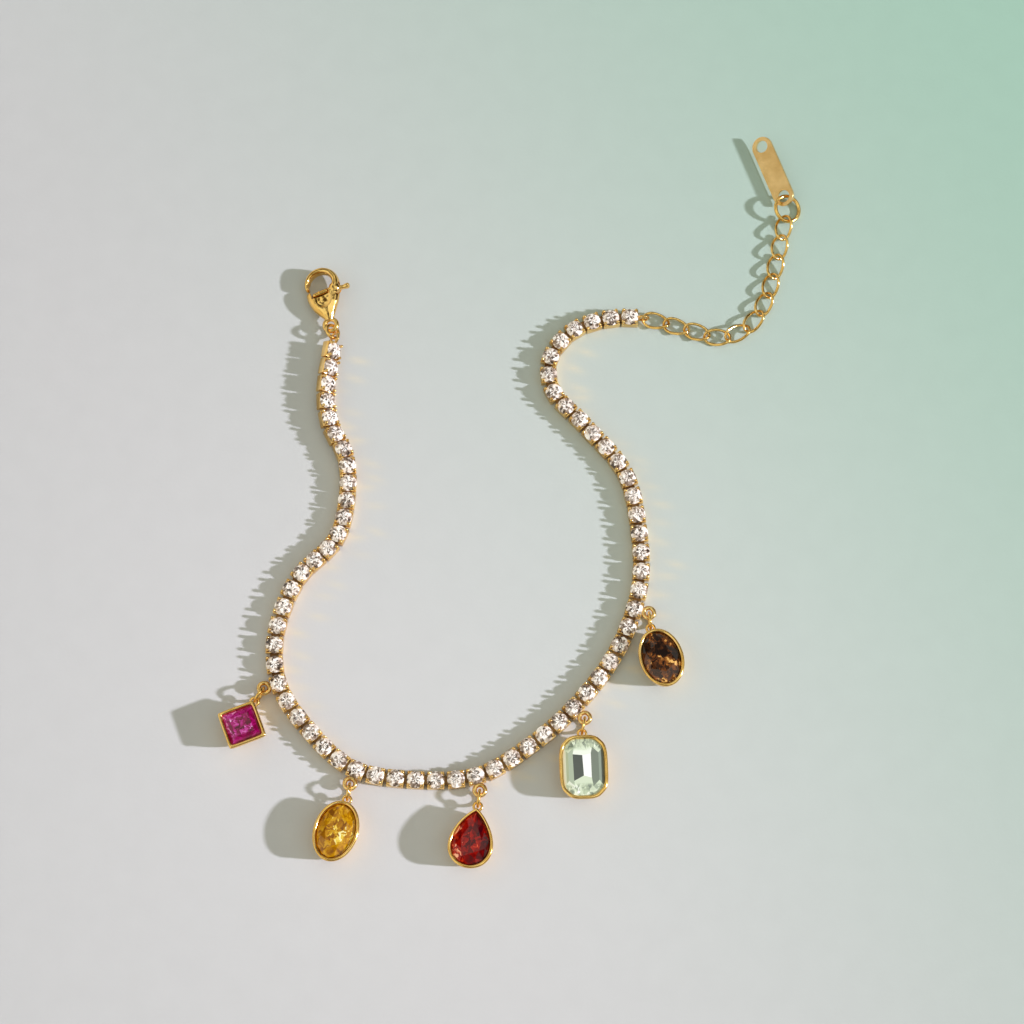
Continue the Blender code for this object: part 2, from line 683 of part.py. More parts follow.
def build_clasp():
    placed = clasp_matrix()
    pivot = pivot_place()
    body = mesh_object("clasp_body", clasp_base(), placed, smooth=True)
    claw = mesh_object("claw", claw_bar(), placed, cutter=True)
    cheeks = mesh_object("cheeks", cylinder(cheek_radius, claw_thickness, pivot), placed, cutter=True)
    eyelet = ring_object("eyelet", eyelet_diameter, eyelet_wire, placed, cutter=True, segments=eyelet_sides)
    slot_height = hub_thickness + 2 * lever_clearance
    slot_radius = cheek_radius + 2 * lever_clearance
    slot = mesh_object("lever_slot", cylinder(slot_radius, slot_height, pivot), placed, cutter=True)
    tab_way = tab_angle - lever_swing / 2
    tab_room_width = tab_width + 2 * lever_clearance + 2 * slot_radius * math.sin(lever_swing / 2)
    tab_room_place = pivot + Vector((math.cos(tab_way), math.sin(tab_way), 0)) * slot_radius
    tab_room = box((2 * slot_radius, tab_room_width, slot_height), tab_room_place, tab_way)
    tab_slot = mesh_object("tab_slot", tab_room, placed, cutter=True)
    # The gate's room takes all that lies above its lower edge, from the cheeks to its tip.
    gate_way = Vector((math.cos(gate_angle), math.sin(gate_angle), 0))
    gate_up = Vector((gate_way.y, -gate_way.x, 0))
    near = cheek_radius + lever_clearance / 2
    far = gate_length() + 2 * lever_clearance
    tall = base_top / 2
    gate_middle = pivot + gate_way * (near + far) / 2 + gate_up * (tall / 2 - gate_width / 2 - lever_clearance)
    gate_room = box((far - near, tall, 2 * claw_thickness), gate_middle, gate_angle)
    gate_gap = mesh_object("gate_gap", gate_room, placed, cutter=True)
    recess_room = cylinder(recess_radius, 2 * recess_depth, (claw_middle[0], recess_along, claw_thickness / 2))
    recess = mesh_object("recess", recess_room, placed, cutter=True)
    rivet = mesh_object("rivet", cylinder(rivet_radius, rivet_length, pivot, hole_sides), placed, cutter=True)
    combine(body, gate_gap, "DIFFERENCE")
    combine(body, recess, "DIFFERENCE")
    for piece in (cheeks, claw, eyelet):
        combine(body, piece, "UNION")
    for room in (slot, tab_slot):
        combine(body, room, "DIFFERENCE")
    combine(body, rivet, "UNION")

    # The lever's origin is on its pivot.
    lever_place = placed @ Matrix.Translation(pivot)
    lever = mesh_object("clasp_lever", cylinder(hub_radius, hub_thickness), lever_place, smooth=True)
    gate_start = cheek_radius + 2 * lever_clearance
    gate_end = gate_length()
    gate_size = (gate_end - gate_start, gate_width, gate_thickness)
    gate = box(gate_size, gate_way * (gate_start + gate_end) / 2, gate_angle)
    web = box((gate_start, gate_width, hub_thickness), gate_way * (gate_start + hub_radius) / 2, gate_angle)
    tab_middle = Vector((math.cos(tab_angle), math.sin(tab_angle), 0)) * tab_length / 2
    tab = box((tab_length, tab_width, hub_thickness), tab_middle, tab_angle)
    for piece_name, bm in (("gate_web", web), ("gate", gate), ("tab", tab)):
        combine(lever, mesh_object(piece_name, bm, lever_place, cutter=True), "UNION")
    bore = cylinder(rivet_radius + rivet_clearance, 2 * claw_thickness, sides=hole_sides)
    combine(lever, mesh_object("lever_bore", bore, lever_place, cutter=True), "DIFFERENCE")

    ring_radius = (connector_diameter - connector_wire) / 2
    loop_centre = end_loop_matrix(1, -1).translation
    ring_centre = loop_centre + connector_way() * ring_radius
    ring_matrix = heading_matrix(ring_centre, connector_heading, connector_roll)
    ring_object("clasp_ring", connector_diameter, connector_wire, ring_matrix)


build_strand()
for drop in drops:
    build_drop(drop)
for number in range(1, link_count + 1):
    build_link(number)
build_tag()
build_clasp()
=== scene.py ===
import random
from math import atan2, copysign, cos, exp, pi, radians, sin, sqrt

import bmesh
import bpy
from mathutils import Matrix, Vector


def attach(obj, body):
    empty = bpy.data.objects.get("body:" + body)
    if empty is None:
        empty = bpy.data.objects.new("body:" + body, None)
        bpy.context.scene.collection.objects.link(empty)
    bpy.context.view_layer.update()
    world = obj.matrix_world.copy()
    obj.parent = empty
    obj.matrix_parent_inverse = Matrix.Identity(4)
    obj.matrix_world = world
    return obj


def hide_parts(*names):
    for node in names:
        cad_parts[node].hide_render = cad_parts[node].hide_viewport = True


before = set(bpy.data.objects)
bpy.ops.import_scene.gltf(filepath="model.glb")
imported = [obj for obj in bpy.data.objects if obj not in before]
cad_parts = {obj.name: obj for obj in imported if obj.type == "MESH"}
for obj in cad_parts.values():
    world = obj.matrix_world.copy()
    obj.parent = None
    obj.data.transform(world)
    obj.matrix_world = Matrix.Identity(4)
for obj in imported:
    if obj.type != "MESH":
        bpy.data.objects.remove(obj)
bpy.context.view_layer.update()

mm = 0.001


# Nodes and meshes

class Wire:
    # A socket of a node tree. Sums on it add Math nodes, and add() makes any other node.
    def __init__(self, tree, socket=None):
        self.tree = tree
        self.socket = socket

    def add(self, kind, values=None, out=0, **settings):
        node = self.tree.nodes.new(kind)
        for name, value in settings.items():
            if name == "stops":
                setStops(node.color_ramp, value)
            else:
                setattr(node, name, value)
        for name, value in (values or {}).items():
            if isinstance(value, Wire):
                self.tree.links.new(value.socket, node.inputs[name])
            else:
                node.inputs[name].default_value = value
        return Wire(self.tree, node.outputs[out])

    def out(self, name):
        # Another output of the same node
        return Wire(self.tree, self.socket.node.outputs[name])

    def vector(self, **parts):
        return self.add("ShaderNodeCombineXYZ", parts)

    def parts(self):
        split = self.add("ShaderNodeSeparateXYZ", {0: self})
        return split, split.out("Y"), split.out("Z")

    def math(self, operation, *values):
        return self.add("ShaderNodeMath", dict(enumerate(values)), operation=operation)

    def only(self, operation):
        return self.math(operation, self)

    def __add__(self, other):
        return self.math("ADD", self, other)

    def __sub__(self, other):
        return self.math("SUBTRACT", self, other)

    def __rsub__(self, other):
        return self.math("SUBTRACT", other, self)

    def __mul__(self, other):
        return self.math("MULTIPLY", self, other)

    def __truediv__(self, other):
        return self.math("DIVIDE", self, other)


def setStops(ramp, stops):
    # Each stop is a place from 0 to 1 and a grey or a colour.
    while len(ramp.elements) > 1:
        ramp.elements.remove(ramp.elements[-1])
    for i, (place, tone) in enumerate(stops):
        stop = ramp.elements[0] if i == 0 else ramp.elements.new(place)
        stop.position = place
        stop.color = (*tone, 1) if isinstance(tone, tuple) else (tone, tone, tone, 1)


def clamp01(wire):
    return wire.add("ShaderNodeClamp", {"Value": wire})


def noise(place, scale, detail, out=0):
    return place.add("ShaderNodeTexNoise", {"Vector": place, "Scale": scale, "Detail": detail}, out)


def smoothStep(wire, low, high):
    return wire.add("ShaderNodeMapRange", {"Value": wire, "From Min": low, "From Max": high},
                    interpolation_type="SMOOTHSTEP")


def mixColor(factor, first, second):
    values = {0: factor, 6: first if isinstance(first, Wire) else (*first, 1),
              7: second if isinstance(second, Wire) else (*second, 1)}
    return factor.add("ShaderNodeMix", values, 2, data_type="RGBA")


def polar(turn, reach=1.0, *height):
    return Vector((reach * cos(turn), reach * sin(turn), *height))


def headingMatrix(place, heading, roll=0.0):
    return Matrix.Translation(place) @ Matrix.Rotation(heading, 4, "Z") @ Matrix.Rotation(roll, 4, "X")


def newObject(name, data):
    obj = bpy.data.objects.new(name, data)
    bpy.context.scene.collection.objects.link(obj)
    return obj


def meshOf(name, bm):
    mesh = bpy.data.meshes.new(name)
    bm.to_mesh(mesh)
    bm.free()
    return mesh


def weld(bm):
    # Joins points that fall together and turns the faces outwards.
    bmesh.ops.remove_doubles(bm, verts=bm.verts, dist=1e-7)
    bmesh.ops.recalc_face_normals(bm, faces=bm.faces)


def tidyMesh(name, bm, material, smooth=False):
    weld(bm)
    mesh = meshOf(name, bm)
    mesh.materials.append(material)
    if smooth:
        mesh.shade_smooth()
        mesh.set_sharp_from_angle(angle=radians(38))
    return newObject(name, mesh)


def formAt(create, centre, turn=0.0, stretch=(1, 1, 1), **options):
    # One of bmesh's own forms, in millimetres. A centre of two numbers lies at height 0.
    made = bmesh.new()
    place = headingMatrix(Vector((*centre, 0)[:3]) * mm, turn) @ Matrix.Diagonal((*stretch, 1)) @ Matrix.Scale(mm, 4)
    create(made, matrix=place, **options)
    return made


def disc(centre, radius, deep):
    return formAt(bmesh.ops.create_cone, centre, cap_ends=True, segments=40, radius1=radius, radius2=radius, depth=deep)


def dome(centre, radii):
    return formAt(bmesh.ops.create_uvsphere, centre, stretch=radii, u_segments=40, v_segments=24, radius=1.0)


def block(centre, size, turn=0.0):
    return formAt(bmesh.ops.create_cube, centre, turn, size, size=1.0)


def loftRings(rings, closed=False, capped=True):
    bm = bmesh.new()
    rows = [[bm.verts.new(point) for point in ring] for ring in rings]
    for row, after in zip(rows, rows[1:] + rows[:1] if closed else rows[1:]):
        for i in range(len(row)):
            j = (i + 1) % len(row)
            bm.faces.new((row[i], row[j], after[j], after[i]))
    if capped and not closed:
        bm.faces.new(rows[0])
        bm.faces.new(rows[-1])
    return bm


def plainMesh(obj, name):
    # The evaluated object as a plain mesh at the origin, in place of the object itself.
    bpy.context.view_layer.update()
    mesh = bpy.data.meshes.new_from_object(obj.evaluated_get(bpy.context.evaluated_depsgraph_get()))
    mesh.transform(obj.matrix_world)
    bpy.data.objects.remove(obj)
    mesh.name = name
    return newObject(name, mesh)


def dressed(piece, slot, *nodes, body="bracelet"):
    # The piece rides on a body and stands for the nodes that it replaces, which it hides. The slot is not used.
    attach(piece, body)
    if nodes:
        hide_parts(*nodes)
    return piece


# Geometry Nodes

def newTree(name, **inputs):
    # A modifier tree with the named inputs of each kind of socket, which come back as wires by their names.
    tree = bpy.data.node_groups.new(name, "GeometryNodeTree")
    tree.interface.new_socket("Geometry", in_out="OUTPUT", socket_type="NodeSocketGeometry")
    for kind, names in {"Geometry": ["Geometry"], **inputs}.items():
        for socketName in names:
            tree.interface.new_socket(socketName, in_out="INPUT", socket_type="NodeSocket" + kind)
    group = tree.nodes.new("NodeGroupInput")
    return tree, {socket.name: Wire(tree, socket) for socket in group.outputs if socket.name}


def finishTree(tree, geometry, metal, paintedShadeMetal=None):
    # Faces whose attribute inner is above 0 may get a metal of their own, the gold with painted shade.
    realized = geometry.add("GeometryNodeRealizeInstances", {0: geometry})
    painted = realized.add("GeometryNodeSetMaterial", {"Geometry": realized, "Material": metal})
    if paintedShadeMetal:
        chosen = geometry.add("GeometryNodeInputNamedAttribute", {"Name": "inner"}, data_type="FLOAT")
        painted = painted.add("GeometryNodeSetMaterial", {
            "Geometry": painted, "Selection": chosen, "Material": paintedShadeMetal})
    out = tree.nodes.new("NodeGroupOutput")
    tree.links.new(painted.socket, out.inputs[0])


def runTree(tree, base, values, name):
    # Sets the inputs by their identifiers, before the object is first evaluated, and bakes the result. Lengths are in
    # millimetres, and an object that the tree repeats goes away with it.
    modifier = base.modifiers.new(name, "NODES")
    modifier.node_group = tree
    for item in tree.interface.items_tree:
        if item.in_out == "INPUT" and item.name in values:
            value = values[item.name]
            modifier[item.identifier] = value * mm if isinstance(value, float) else value
    baked = plainMesh(base, name)
    for value in values.values():
        if isinstance(value, bpy.types.Object):
            bpy.data.objects.remove(value)
    return baked


def keepAt(mesh, name, kind, values):
    # Values kept at the mesh's points, one number or three for each
    field = "vector" if kind == "FLOAT_VECTOR" else "value"
    mesh.attributes.new(name, kind, "POINT").data.foreach_set(field, values)


def placePoints(name, matrices, **fields):
    # One point for each matrix, with its turn and any other value kept as attributes.
    mesh = bpy.data.meshes.new(name)
    mesh.from_pydata([matrix.translation for matrix in matrices], [], [])
    keepAt(mesh, "turn", "FLOAT_VECTOR", [angle for matrix in matrices for angle in matrix.to_euler()])
    for field, numbers in fields.items():
        keepAt(mesh, field, "FLOAT", numbers)
    return newObject(name, mesh)


def turned(wire):
    return wire.add("FunctionNodeEulerToRotation", {0: wire})


def onPoints(points, instance, **more):
    # Instances on the points, each by its point's own turn
    turn = points.add("GeometryNodeInputNamedAttribute", {"Name": "turn"}, data_type="FLOAT_VECTOR")
    return points.add("GeometryNodeInstanceOnPoints", {
        "Points": points, "Instance": instance, "Rotation": turned(turn), **more})


def objectIn(wire):
    return wire.add("GeometryNodeObjectInfo", {"Object": wire}, "Geometry", transform_space="ORIGINAL")


def smoothed(mesh):
    return mesh.add("GeometryNodeSetShadeSmooth", {0: mesh})


def joined(first, second):
    both = first.add("GeometryNodeJoinGeometry", {0: first})
    first.tree.links.new(second.socket, both.socket.node.inputs[0])
    return both


def circleOf(start, steps, radius):
    return start.add("GeometryNodeCurvePrimitiveCircle", {"Resolution": steps, "Radius": radius})


def tube(curve, radius, sides):
    return smoothed(curve.add("GeometryNodeCurveToMesh", {
        "Curve": curve, "Profile Curve": circleOf(curve, sides, radius), "Fill Caps": True}))


# Camera, light and floor

camera = {"place": (-0.945, -99.73, 336.4), "aim": (-0.945, -3.226, 0.0), "lens": 86.1, "sensor": 36.0}
sun = {"azimuth": -8.0, "elevation": 24.0, "strength": 4.3, "color": (0.91, 0.9, 1.0), "angle": 2.6}
sky = {"zenith": (0.96, 1.0, 0.87), "low": (0.78, 0.74, 0.6), "dark": (0.04, 0.03, 0.02), "strength": 1.1,
       "patch": (0.08, 0.06, 0.04), "patchScale": 2.9, "patchEdge": (0.41, 0.5),
       "heights": (0.42, 0.72), "sides": (-0.1, 0.75)}
# Floor: its colours, a painted pool of light about a middle point, and the colour of painted warm light streaks
floor = {"size": 4.0, "grey": (0.66, 0.655, 0.67), "green": (0.4, 0.65, 0.52), "speck": 260.0,
         "dark": (0.02, 0.02, 0.02),
         "paintedLightMiddle": (-0.005, -0.04), "paintedLightFalloff": 0.13, "reach": 0.13, "slope": (6.3, 4.3), "slopeEnds": (-0.35, 1.05),
         "paintedGlow": (0.82, 0.72, 0.52), "glowShare": 0.42, "fineFrom": (-45, -60), "fineTo": (50, 60), "fineStep": 0.5}
# Painted light streaks: how near and far from a setting, their length, width and slant
streak = {"near": 1.9, "far": 5.2, "length": 1.5, "width": 0.5, "slant": -6.0}


def lookTurn(way):
    return way.to_track_quat("-Z", "Y").to_matrix().to_4x4()


def addCamera():
    data = bpy.data.cameras.new("photoCamera")
    data.lens = camera["lens"]
    data.sensor_width = camera["sensor"]
    data.clip_start = 0.01
    obj = newObject("photoCamera", data)
    place, aim = Vector(camera["place"]) * mm, Vector(camera["aim"]) * mm
    obj.matrix_world = Matrix.Translation(place) @ lookTurn(aim - place)
    bpy.context.scene.camera = obj


def addLight():
    data = bpy.data.lights.new("sunLight", "SUN")
    data.energy = sun["strength"]
    data.color = sun["color"]
    data.angle = radians(sun["angle"])
    azimuth, elevation = radians(sun["azimuth"]), radians(sun["elevation"])
    newObject("sunLight", data).matrix_world = lookTurn(-polar(azimuth, cos(elevation), sin(elevation)))

    world = bpy.data.worlds.new("softSky")
    world.use_nodes = True
    bpy.context.scene.world = world
    background = world.node_tree.nodes["Background"]
    way = Wire(world.node_tree).add("ShaderNodeTexCoord", out="Generated")
    x, y, z = way.parts()
    height = smoothStep(z, *sky["heights"])
    side = smoothStep(0.0 - x, *sky["sides"])
    patches = noise(way, sky["patchScale"], 1.0)
    bright = mixColor(smoothStep(patches, *sky["patchEdge"]), sky["patch"], sky["zenith"])
    shade = mixColor(side, sky["dark"], sky["low"])
    color = mixColor(height, shade, bright)
    feed(background, Color=color)
    background.inputs["Strength"].default_value = sky["strength"]
    bpy.context.scene.view_settings.view_transform = "Standard"


def addFloor():
    material, start, shader = newMaterial("paleFloor", {"Roughness": 0.75, "Specular IOR Level": 0.25})
    place = start.add("ShaderNodeTexCoord", out="Object")
    x, y = place.parts()[:2]
    slope = smoothStep(x * floor["slope"][0] + y * floor["slope"][1], *floor["slopeEnds"])
    # A painted pool of light: the floor darkens away from its middle; random specks of grain darken it too
    fromX, fromY = x - floor["paintedLightMiddle"][0], y - floor["paintedLightMiddle"][1]
    away = smoothStep((fromX * fromX + fromY * fromY).only("SQRT"), 0.0, floor["reach"])
    grain = noise(place, floor["speck"], 4.0)
    base = mixColor(slope, floor["grey"], floor["green"])
    specksAndPaintedLight = mixColor(grain * 0.05 + away * floor["paintedLightFalloff"], base, floor["dark"])
    # Painted warm streaks of light thrown back from the gold
    paintedGlow = start.add("ShaderNodeAttribute", out="Fac", attribute_name="goldGlow")
    specksAndPaintedLight = mixColor(paintedGlow * floor["glowShare"], specksAndPaintedLight, floor["paintedGlow"])
    fine = noise(place, floor["speck"] * 8, 3.0)
    feed(shader, Base_Color=specksAndPaintedLight, Normal=bumped(fine, 0.12, 0.0001))
    floorMesh(material)


def goldGlow():
    # Faint painted warm light on the floor, for the light that the settings throw back, as one short streak for each on
    # the sun's side.
    # Each streak comes as its middle, its way and its strength.
    dice = random.Random(17)
    streaks = []
    for n in range(1, strand["count"] + 1):
        placed = stoneMatrix(n)
        turn = radians(sun["azimuth"] + streak["slant"] + dice.uniform(-9, 9))
        way = polar(turn)
        facing = abs(way.dot(placed.col[1].xy.normalized()))
        reach = dice.uniform(streak["near"], streak["far"]) * mm
        if facing > 0.5:
            streaks.append((placed.translation.xy + way * reach, way, facing * dice.uniform(0.4, 1.0)))
    return streaks


def floorMesh(material):
    # Its rows lie close together under the bracelet, so that the painted light streaks can be kept at its points.
    def lines(k):
        first, last, step = floor["fineFrom"][k], floor["fineTo"][k], floor["fineStep"]
        fine = [(first + i * step) * mm for i in range(int((last - first) / step) + 1)]
        return [-floor["size"] / 2] + fine + [floor["size"] / 2]

    columns, rows = lines(0), lines(1)
    wide = len(columns)
    faces = [(j * wide + i, j * wide + i + 1, (j + 1) * wide + i + 1, (j + 1) * wide + i)
             for j in range(len(rows) - 1) for i in range(wide - 1)]
    mesh = bpy.data.meshes.new("floor")
    mesh.from_pydata([(x, y, 0.0) for y in rows for x in columns], [], faces)
    mesh.materials.append(material)
    streaks = goldGlow()
    reach = 3 * streak["length"] * mm
    paintedGlow = []
    for y in rows:
        near = [item for item in streaks if abs(item[0].y - y) < reach]
        for x in columns:
            total = 0.0
            for middle, way, strength in near:
                if abs(middle.x - x) < reach:
                    apart = Vector((x, y)) - middle
                    along = apart.dot(way) / (streak["length"] * mm)
                    across = apart.cross(way) / (streak["width"] * mm)
                    total += strength * exp(-along * along - across * across)
            paintedGlow.append(total)
    keepAt(mesh, "goldGlow", "FLOAT", paintedGlow)
    return newObject("floor", mesh)


# Finishes

def feed(shader, **wires):
    for name, wire in wires.items():
        wire.tree.links.new(wire.socket, shader.inputs[name.replace("_", " ")])


def bumped(height, strength, distance):
    return height.add("ShaderNodeBump", {"Height": height, "Strength": strength, "Distance": distance})


def newMaterial(name, fixed):
    material = bpy.data.materials.new(name)
    material.use_nodes = True
    shader = material.node_tree.nodes["Principled BSDF"]
    for socket, value in fixed.items():
        shader.inputs[socket].default_value = value
    return material, Wire(material.node_tree), shader


goldFinish = {"bright": (0.97, 0.64, 0.23), "deep": (0.84, 0.5, 0.13), "roughness": 0.1, "spread": 0.12,
              "cloud": 420.0, "fine": 5200.0, "bump": 0.06}


def goldMaterial(name, finish, roughnessShift=0.0):
    # Polished plating: its tone and gloss drift slowly, and fine polishing marks break the highlights.
    material, start, shader = newMaterial(name, {"Metallic": 1.0})
    place = start.add("ShaderNodeTexCoord", out="Object")
    cloud = noise(place, finish["cloud"], 3.0)
    fine = noise(place, finish["fine"], 2.0)
    feed(shader, Base_Color=mixColor(smoothStep(cloud, 0.3, 0.7), finish["deep"], finish["bright"]),
         Roughness=cloud * finish["spread"] * fine + finish["roughness"] + roughnessShift,
         Normal=bumped(fine, finish["bump"], 0.00002))
    return material


# The route, as the solids have it

routePoints = [
    (-26.7, 20.6), (-27.5, 14.3), (-26.9, 9.6), (-24.7, 4.6), (-24.5, -1.5), (-26.0, -7.5), (-31.3, -13.4),
    (-34.1, -21.3), (-33.5, -28.5), (-29.2, -35.0), (-23.0, -40.4), (-14.5, -42.0), (-5.7, -41.4),
    (1.3, -37.4), (8.0, -31.5), (13.9, -23.5), (17.1, -14.3), (17.0, -5.5), (15.1, 2.5), (9.4, 9.6),
    (5.0, 14.7), (4.6, 19.6), (7.9, 23.9), (13.2, 25.8), (19.1, 25.7), (25.0, 24.1), (29.3, 23.0),
    (33.2, 24.5), (35.9, 28.3), (37.5, 33.3), (39.1, 40.3),
]
strand = {"count": 65, "closedCount": 14, "length": 2.25, "width": 2.4, "height": 1.35, "closedGap": 0.31,
          "openGap": 0.54, "firstRoll": -47.0, "rolledCount": 8.5, "loopBite": 0.12,
          "endLoop": 1.9, "sideLoop": 2.1, "sideLoopRise": 1.3, "loopWire": 0.42, "sideWire": 0.62}


def smoothRoute(points, steps=16):
    nodes = [Vector(point) * mm for point in points]
    spans = [(after - before).length for before, after in zip(nodes, nodes[1:])]
    tangents = []
    for i in range(len(nodes)):
        first, last = max(i - 1, 0), min(i + 1, len(nodes) - 1)
        tangents.append((nodes[last] - nodes[first]) / sum(spans[first:last]))
    curve = []
    for i, span in enumerate(spans):
        for step in range(steps):
            t = step / steps
            start = nodes[i] * (2 * t**3 - 3 * t**2 + 1) + tangents[i] * span * (t**3 - 2 * t**2 + t)
            end = nodes[i + 1] * (3 * t**2 - 2 * t**3) + tangents[i + 1] * span * (t**3 - t**2)
            curve.append(start + end)
    curve.append(nodes[-1])
    lengths = [0.0]
    for before, after in zip(curve, curve[1:]):
        lengths.append(lengths[-1] + (after - before).length)
    return curve, lengths


route, routeLengths = smoothRoute(routePoints)


def onRoute(distance):
    last = len(route) - 2
    i = 0
    while i < last and routeLengths[i + 1] < distance:
        i += 1
    share = (distance - routeLengths[i]) / (routeLengths[i + 1] - routeLengths[i])
    return route[i] + (route[i + 1] - route[i]) * share


def routeMatrix(distance, reach, height, roll=0.0):
    ahead = onRoute(distance + reach)
    behind = onRoute(distance - reach)
    place = onRoute(distance)
    return headingMatrix((place.x, place.y, height), atan2(ahead.y - behind.y, ahead.x - behind.x), roll)


def settingDistance(number):
    closed = min(number - 1, strand["closedCount"])
    opened = number - 1 - closed
    return (closed * (strand["length"] + strand["closedGap"]) + opened * (strand["length"] + strand["openGap"])) * mm


def settingRoll(number):
    return radians(strand["firstRoll"]) * max(0.0, 1 - (number - 1) / strand["rolledCount"])


def settingMatrix(distance, roll):
    height = strand["height"] * mm
    girdle = strand["width"] * mm / 2 * sin(abs(roll)) + height * cos(roll)
    return routeMatrix(distance, strand["length"] * mm / 2, girdle, roll) @ Matrix.Translation((0, 0, -height))


def stoneMatrix(number):
    return settingMatrix(settingDistance(number), settingRoll(number))


def endLoopMatrix(number, side):
    reach = (strand["length"] / 2 + strand["endLoop"] / 2 - strand["loopBite"]) * mm
    place = Matrix.Translation((side * reach, 0, strand["endLoop"] * mm / 2))
    return stoneMatrix(number) @ place @ Matrix.Rotation(pi / 2, 4, "X")


def sideLoopMatrix(number):
    reach = (strand["width"] / 2 + strand["sideLoop"] / 2 - strand["loopBite"]) * mm
    return stoneMatrix(number) @ Matrix.Translation((0, -reach, strand["sideLoopRise"] * mm))


# Cut stones

def brilliantFacets(outline, cut, top, girdleTop):
    # Round, oval and pear brilliants: table, eight stars, eight kites, sixteen halves, girdle and pavilion.
    # outline(turn, share) is a point of the girdle's outline drawn in to a share of its size.
    eighth = pi / 4
    half = eighth / 2
    crown = top - girdleTop
    girdleFoot = girdleTop - cut["girdle"] * mm
    depth = cut["depth"] * mm
    starHeight = crown * (1 - cut["star"] * cos(half)) / (1 - cut["table"])
    lowHeight = depth * (1 - cut["low"] * cos(half))

    def ring(share, height, count, offset):
        return [Vector((*outline(offset + i * 2 * pi / count, share), height)) for i in range(count)]

    table = ring(cut["table"], top, 8, 0.0)
    star = ring(cut["star"], girdleTop + starHeight, 8, half)
    girdle = ring(1.0, girdleTop, 16, 0.0)
    foot = ring(1.0, girdleFoot, 16, 0.0)
    low = ring(cut["low"], girdleFoot - lowHeight, 8, half)
    culet = Vector((*outline(0.0, 0.0), girdleFoot - depth))
    faces = [tuple(table)]
    for i in range(8):
        after, before = (i + 1) % 8, (i - 1) % 8
        left, middle, right = 2 * i, 2 * i + 1, (2 * i + 2) % 16
        faces += [(table[i], star[i], table[after]), (table[i], star[before], girdle[left], star[i]),
                  (star[i], girdle[left], girdle[middle]), (star[i], girdle[middle], girdle[right]),
                  (low[i], foot[middle], foot[left]), (low[i], foot[right], foot[middle]),
                  (culet, low[i], foot[left], low[before])]
    for i in range(16):
        faces.append((girdle[i], foot[i], foot[(i + 1) % 16], girdle[(i + 1) % 16]))
    return faces


def stoneMesh(faces, seed, half, given=()):
    # Each facet gets its own painted light, from 0 to 1, that its material turns into a painted glint or a dark facet.
    # The first is the table, whose value is -1, unless values are given. Each corner knows its place in the stone, as a
    # share of half the stone's size.
    bm = bmesh.new()
    layer = bm.faces.layers.float.new("facetPaintedLight")
    dice = random.Random(seed)
    for i, face in enumerate(faces):
        made = bm.faces.new([bm.verts.new(point) for point in face])
        made[layer] = given[i] if i < len(given) else dice.random()
    if not given:
        bm.faces.ensure_lookup_table()
        bm.faces[0][layer] = -1.0
    weld(bm)
    mesh = meshOf("facets", bm)
    top = max(vert.co.z for vert in mesh.vertices)
    keepAt(mesh, "stonePlace", "FLOAT_VECTOR", [share for vert in mesh.vertices for share in (
        vert.co.x / half[0], vert.co.y / half[1], (vert.co.z - top) / half[0])])
    return mesh


addCamera()
addLight()
addFloor()
print("Camera, light and floor ready")

# The strand's settings

setting = {"length": 2.4, "wall": 1.26, "edge": 0.1, "seatDepth": 0.5, "lip": 0.06,
           "prongRadius": 0.2, "prongFootHeight": 0.7, "prongFootReach": 1.4, "prongTipHeight": 1.76, "prongTipReach": 1.25,
           "tipRadius": 0.24, "stoneRadius": 1.23, "spread": (1.02, 1.03), "table": 1.84, "girdle": 1.38}
roundCut = {"table": 0.56, "star": 0.78, "low": 0.42, "girdle": 0.06, "depth": 0.95}
barSize = {"width": 1.2, "thickness": 0.6, "rise": 0.45, "bite": 0.15, "edge": 0.14}

strandGold = goldMaterial("strandGold", {**goldFinish, "bright": (1.0, 0.7, 0.3), "deep": (0.76, 0.46, 0.15)})
# Dark brown gold that paints the shade between the settings and down in their seats
paintedShadeGold = goldMaterial("paintedShadeGold", {
    **goldFinish, "bright": (0.3, 0.16, 0.06), "deep": (0.13, 0.06, 0.025), "roughness": 0.3})
polishedGold = goldMaterial("polishedGold", goldFinish)
plateGold = goldMaterial("plateGold", {**goldFinish, "bright": (1.0, 0.7, 0.33), "deep": (0.86, 0.56, 0.22)}, 0.1)


def cupObject():
    # A square cup with softened edges and a seat sunk in its top, whose faces are marked as inner, for painted shade.
    bm = block((0, 0, setting["wall"] / 2), (setting["length"], strand["width"], setting["wall"]))
    inner = bm.faces.layers.float.new("inner")
    bmesh.ops.bevel(bm, geom=bm.edges[:], offset=setting["edge"] * mm, segments=2, affect="EDGES", profile=0.6)
    topFace = max(bm.faces, key=lambda face: face.calc_center_median().z)
    bmesh.ops.inset_individual(bm, faces=[topFace], thickness=setting["lip"] * mm)
    floorFace = bmesh.ops.extrude_discrete_faces(bm, faces=[topFace])["faces"][0]
    bmesh.ops.translate(bm, vec=(0, 0, -setting["seatDepth"] * mm), verts=floorFace.verts)
    sunken = set(floorFace.verts)
    for face in bm.faces:
        face[inner] = float(any(vert in sunken for vert in face.verts))
    return tidyMesh("cup", bm, strandGold, True)


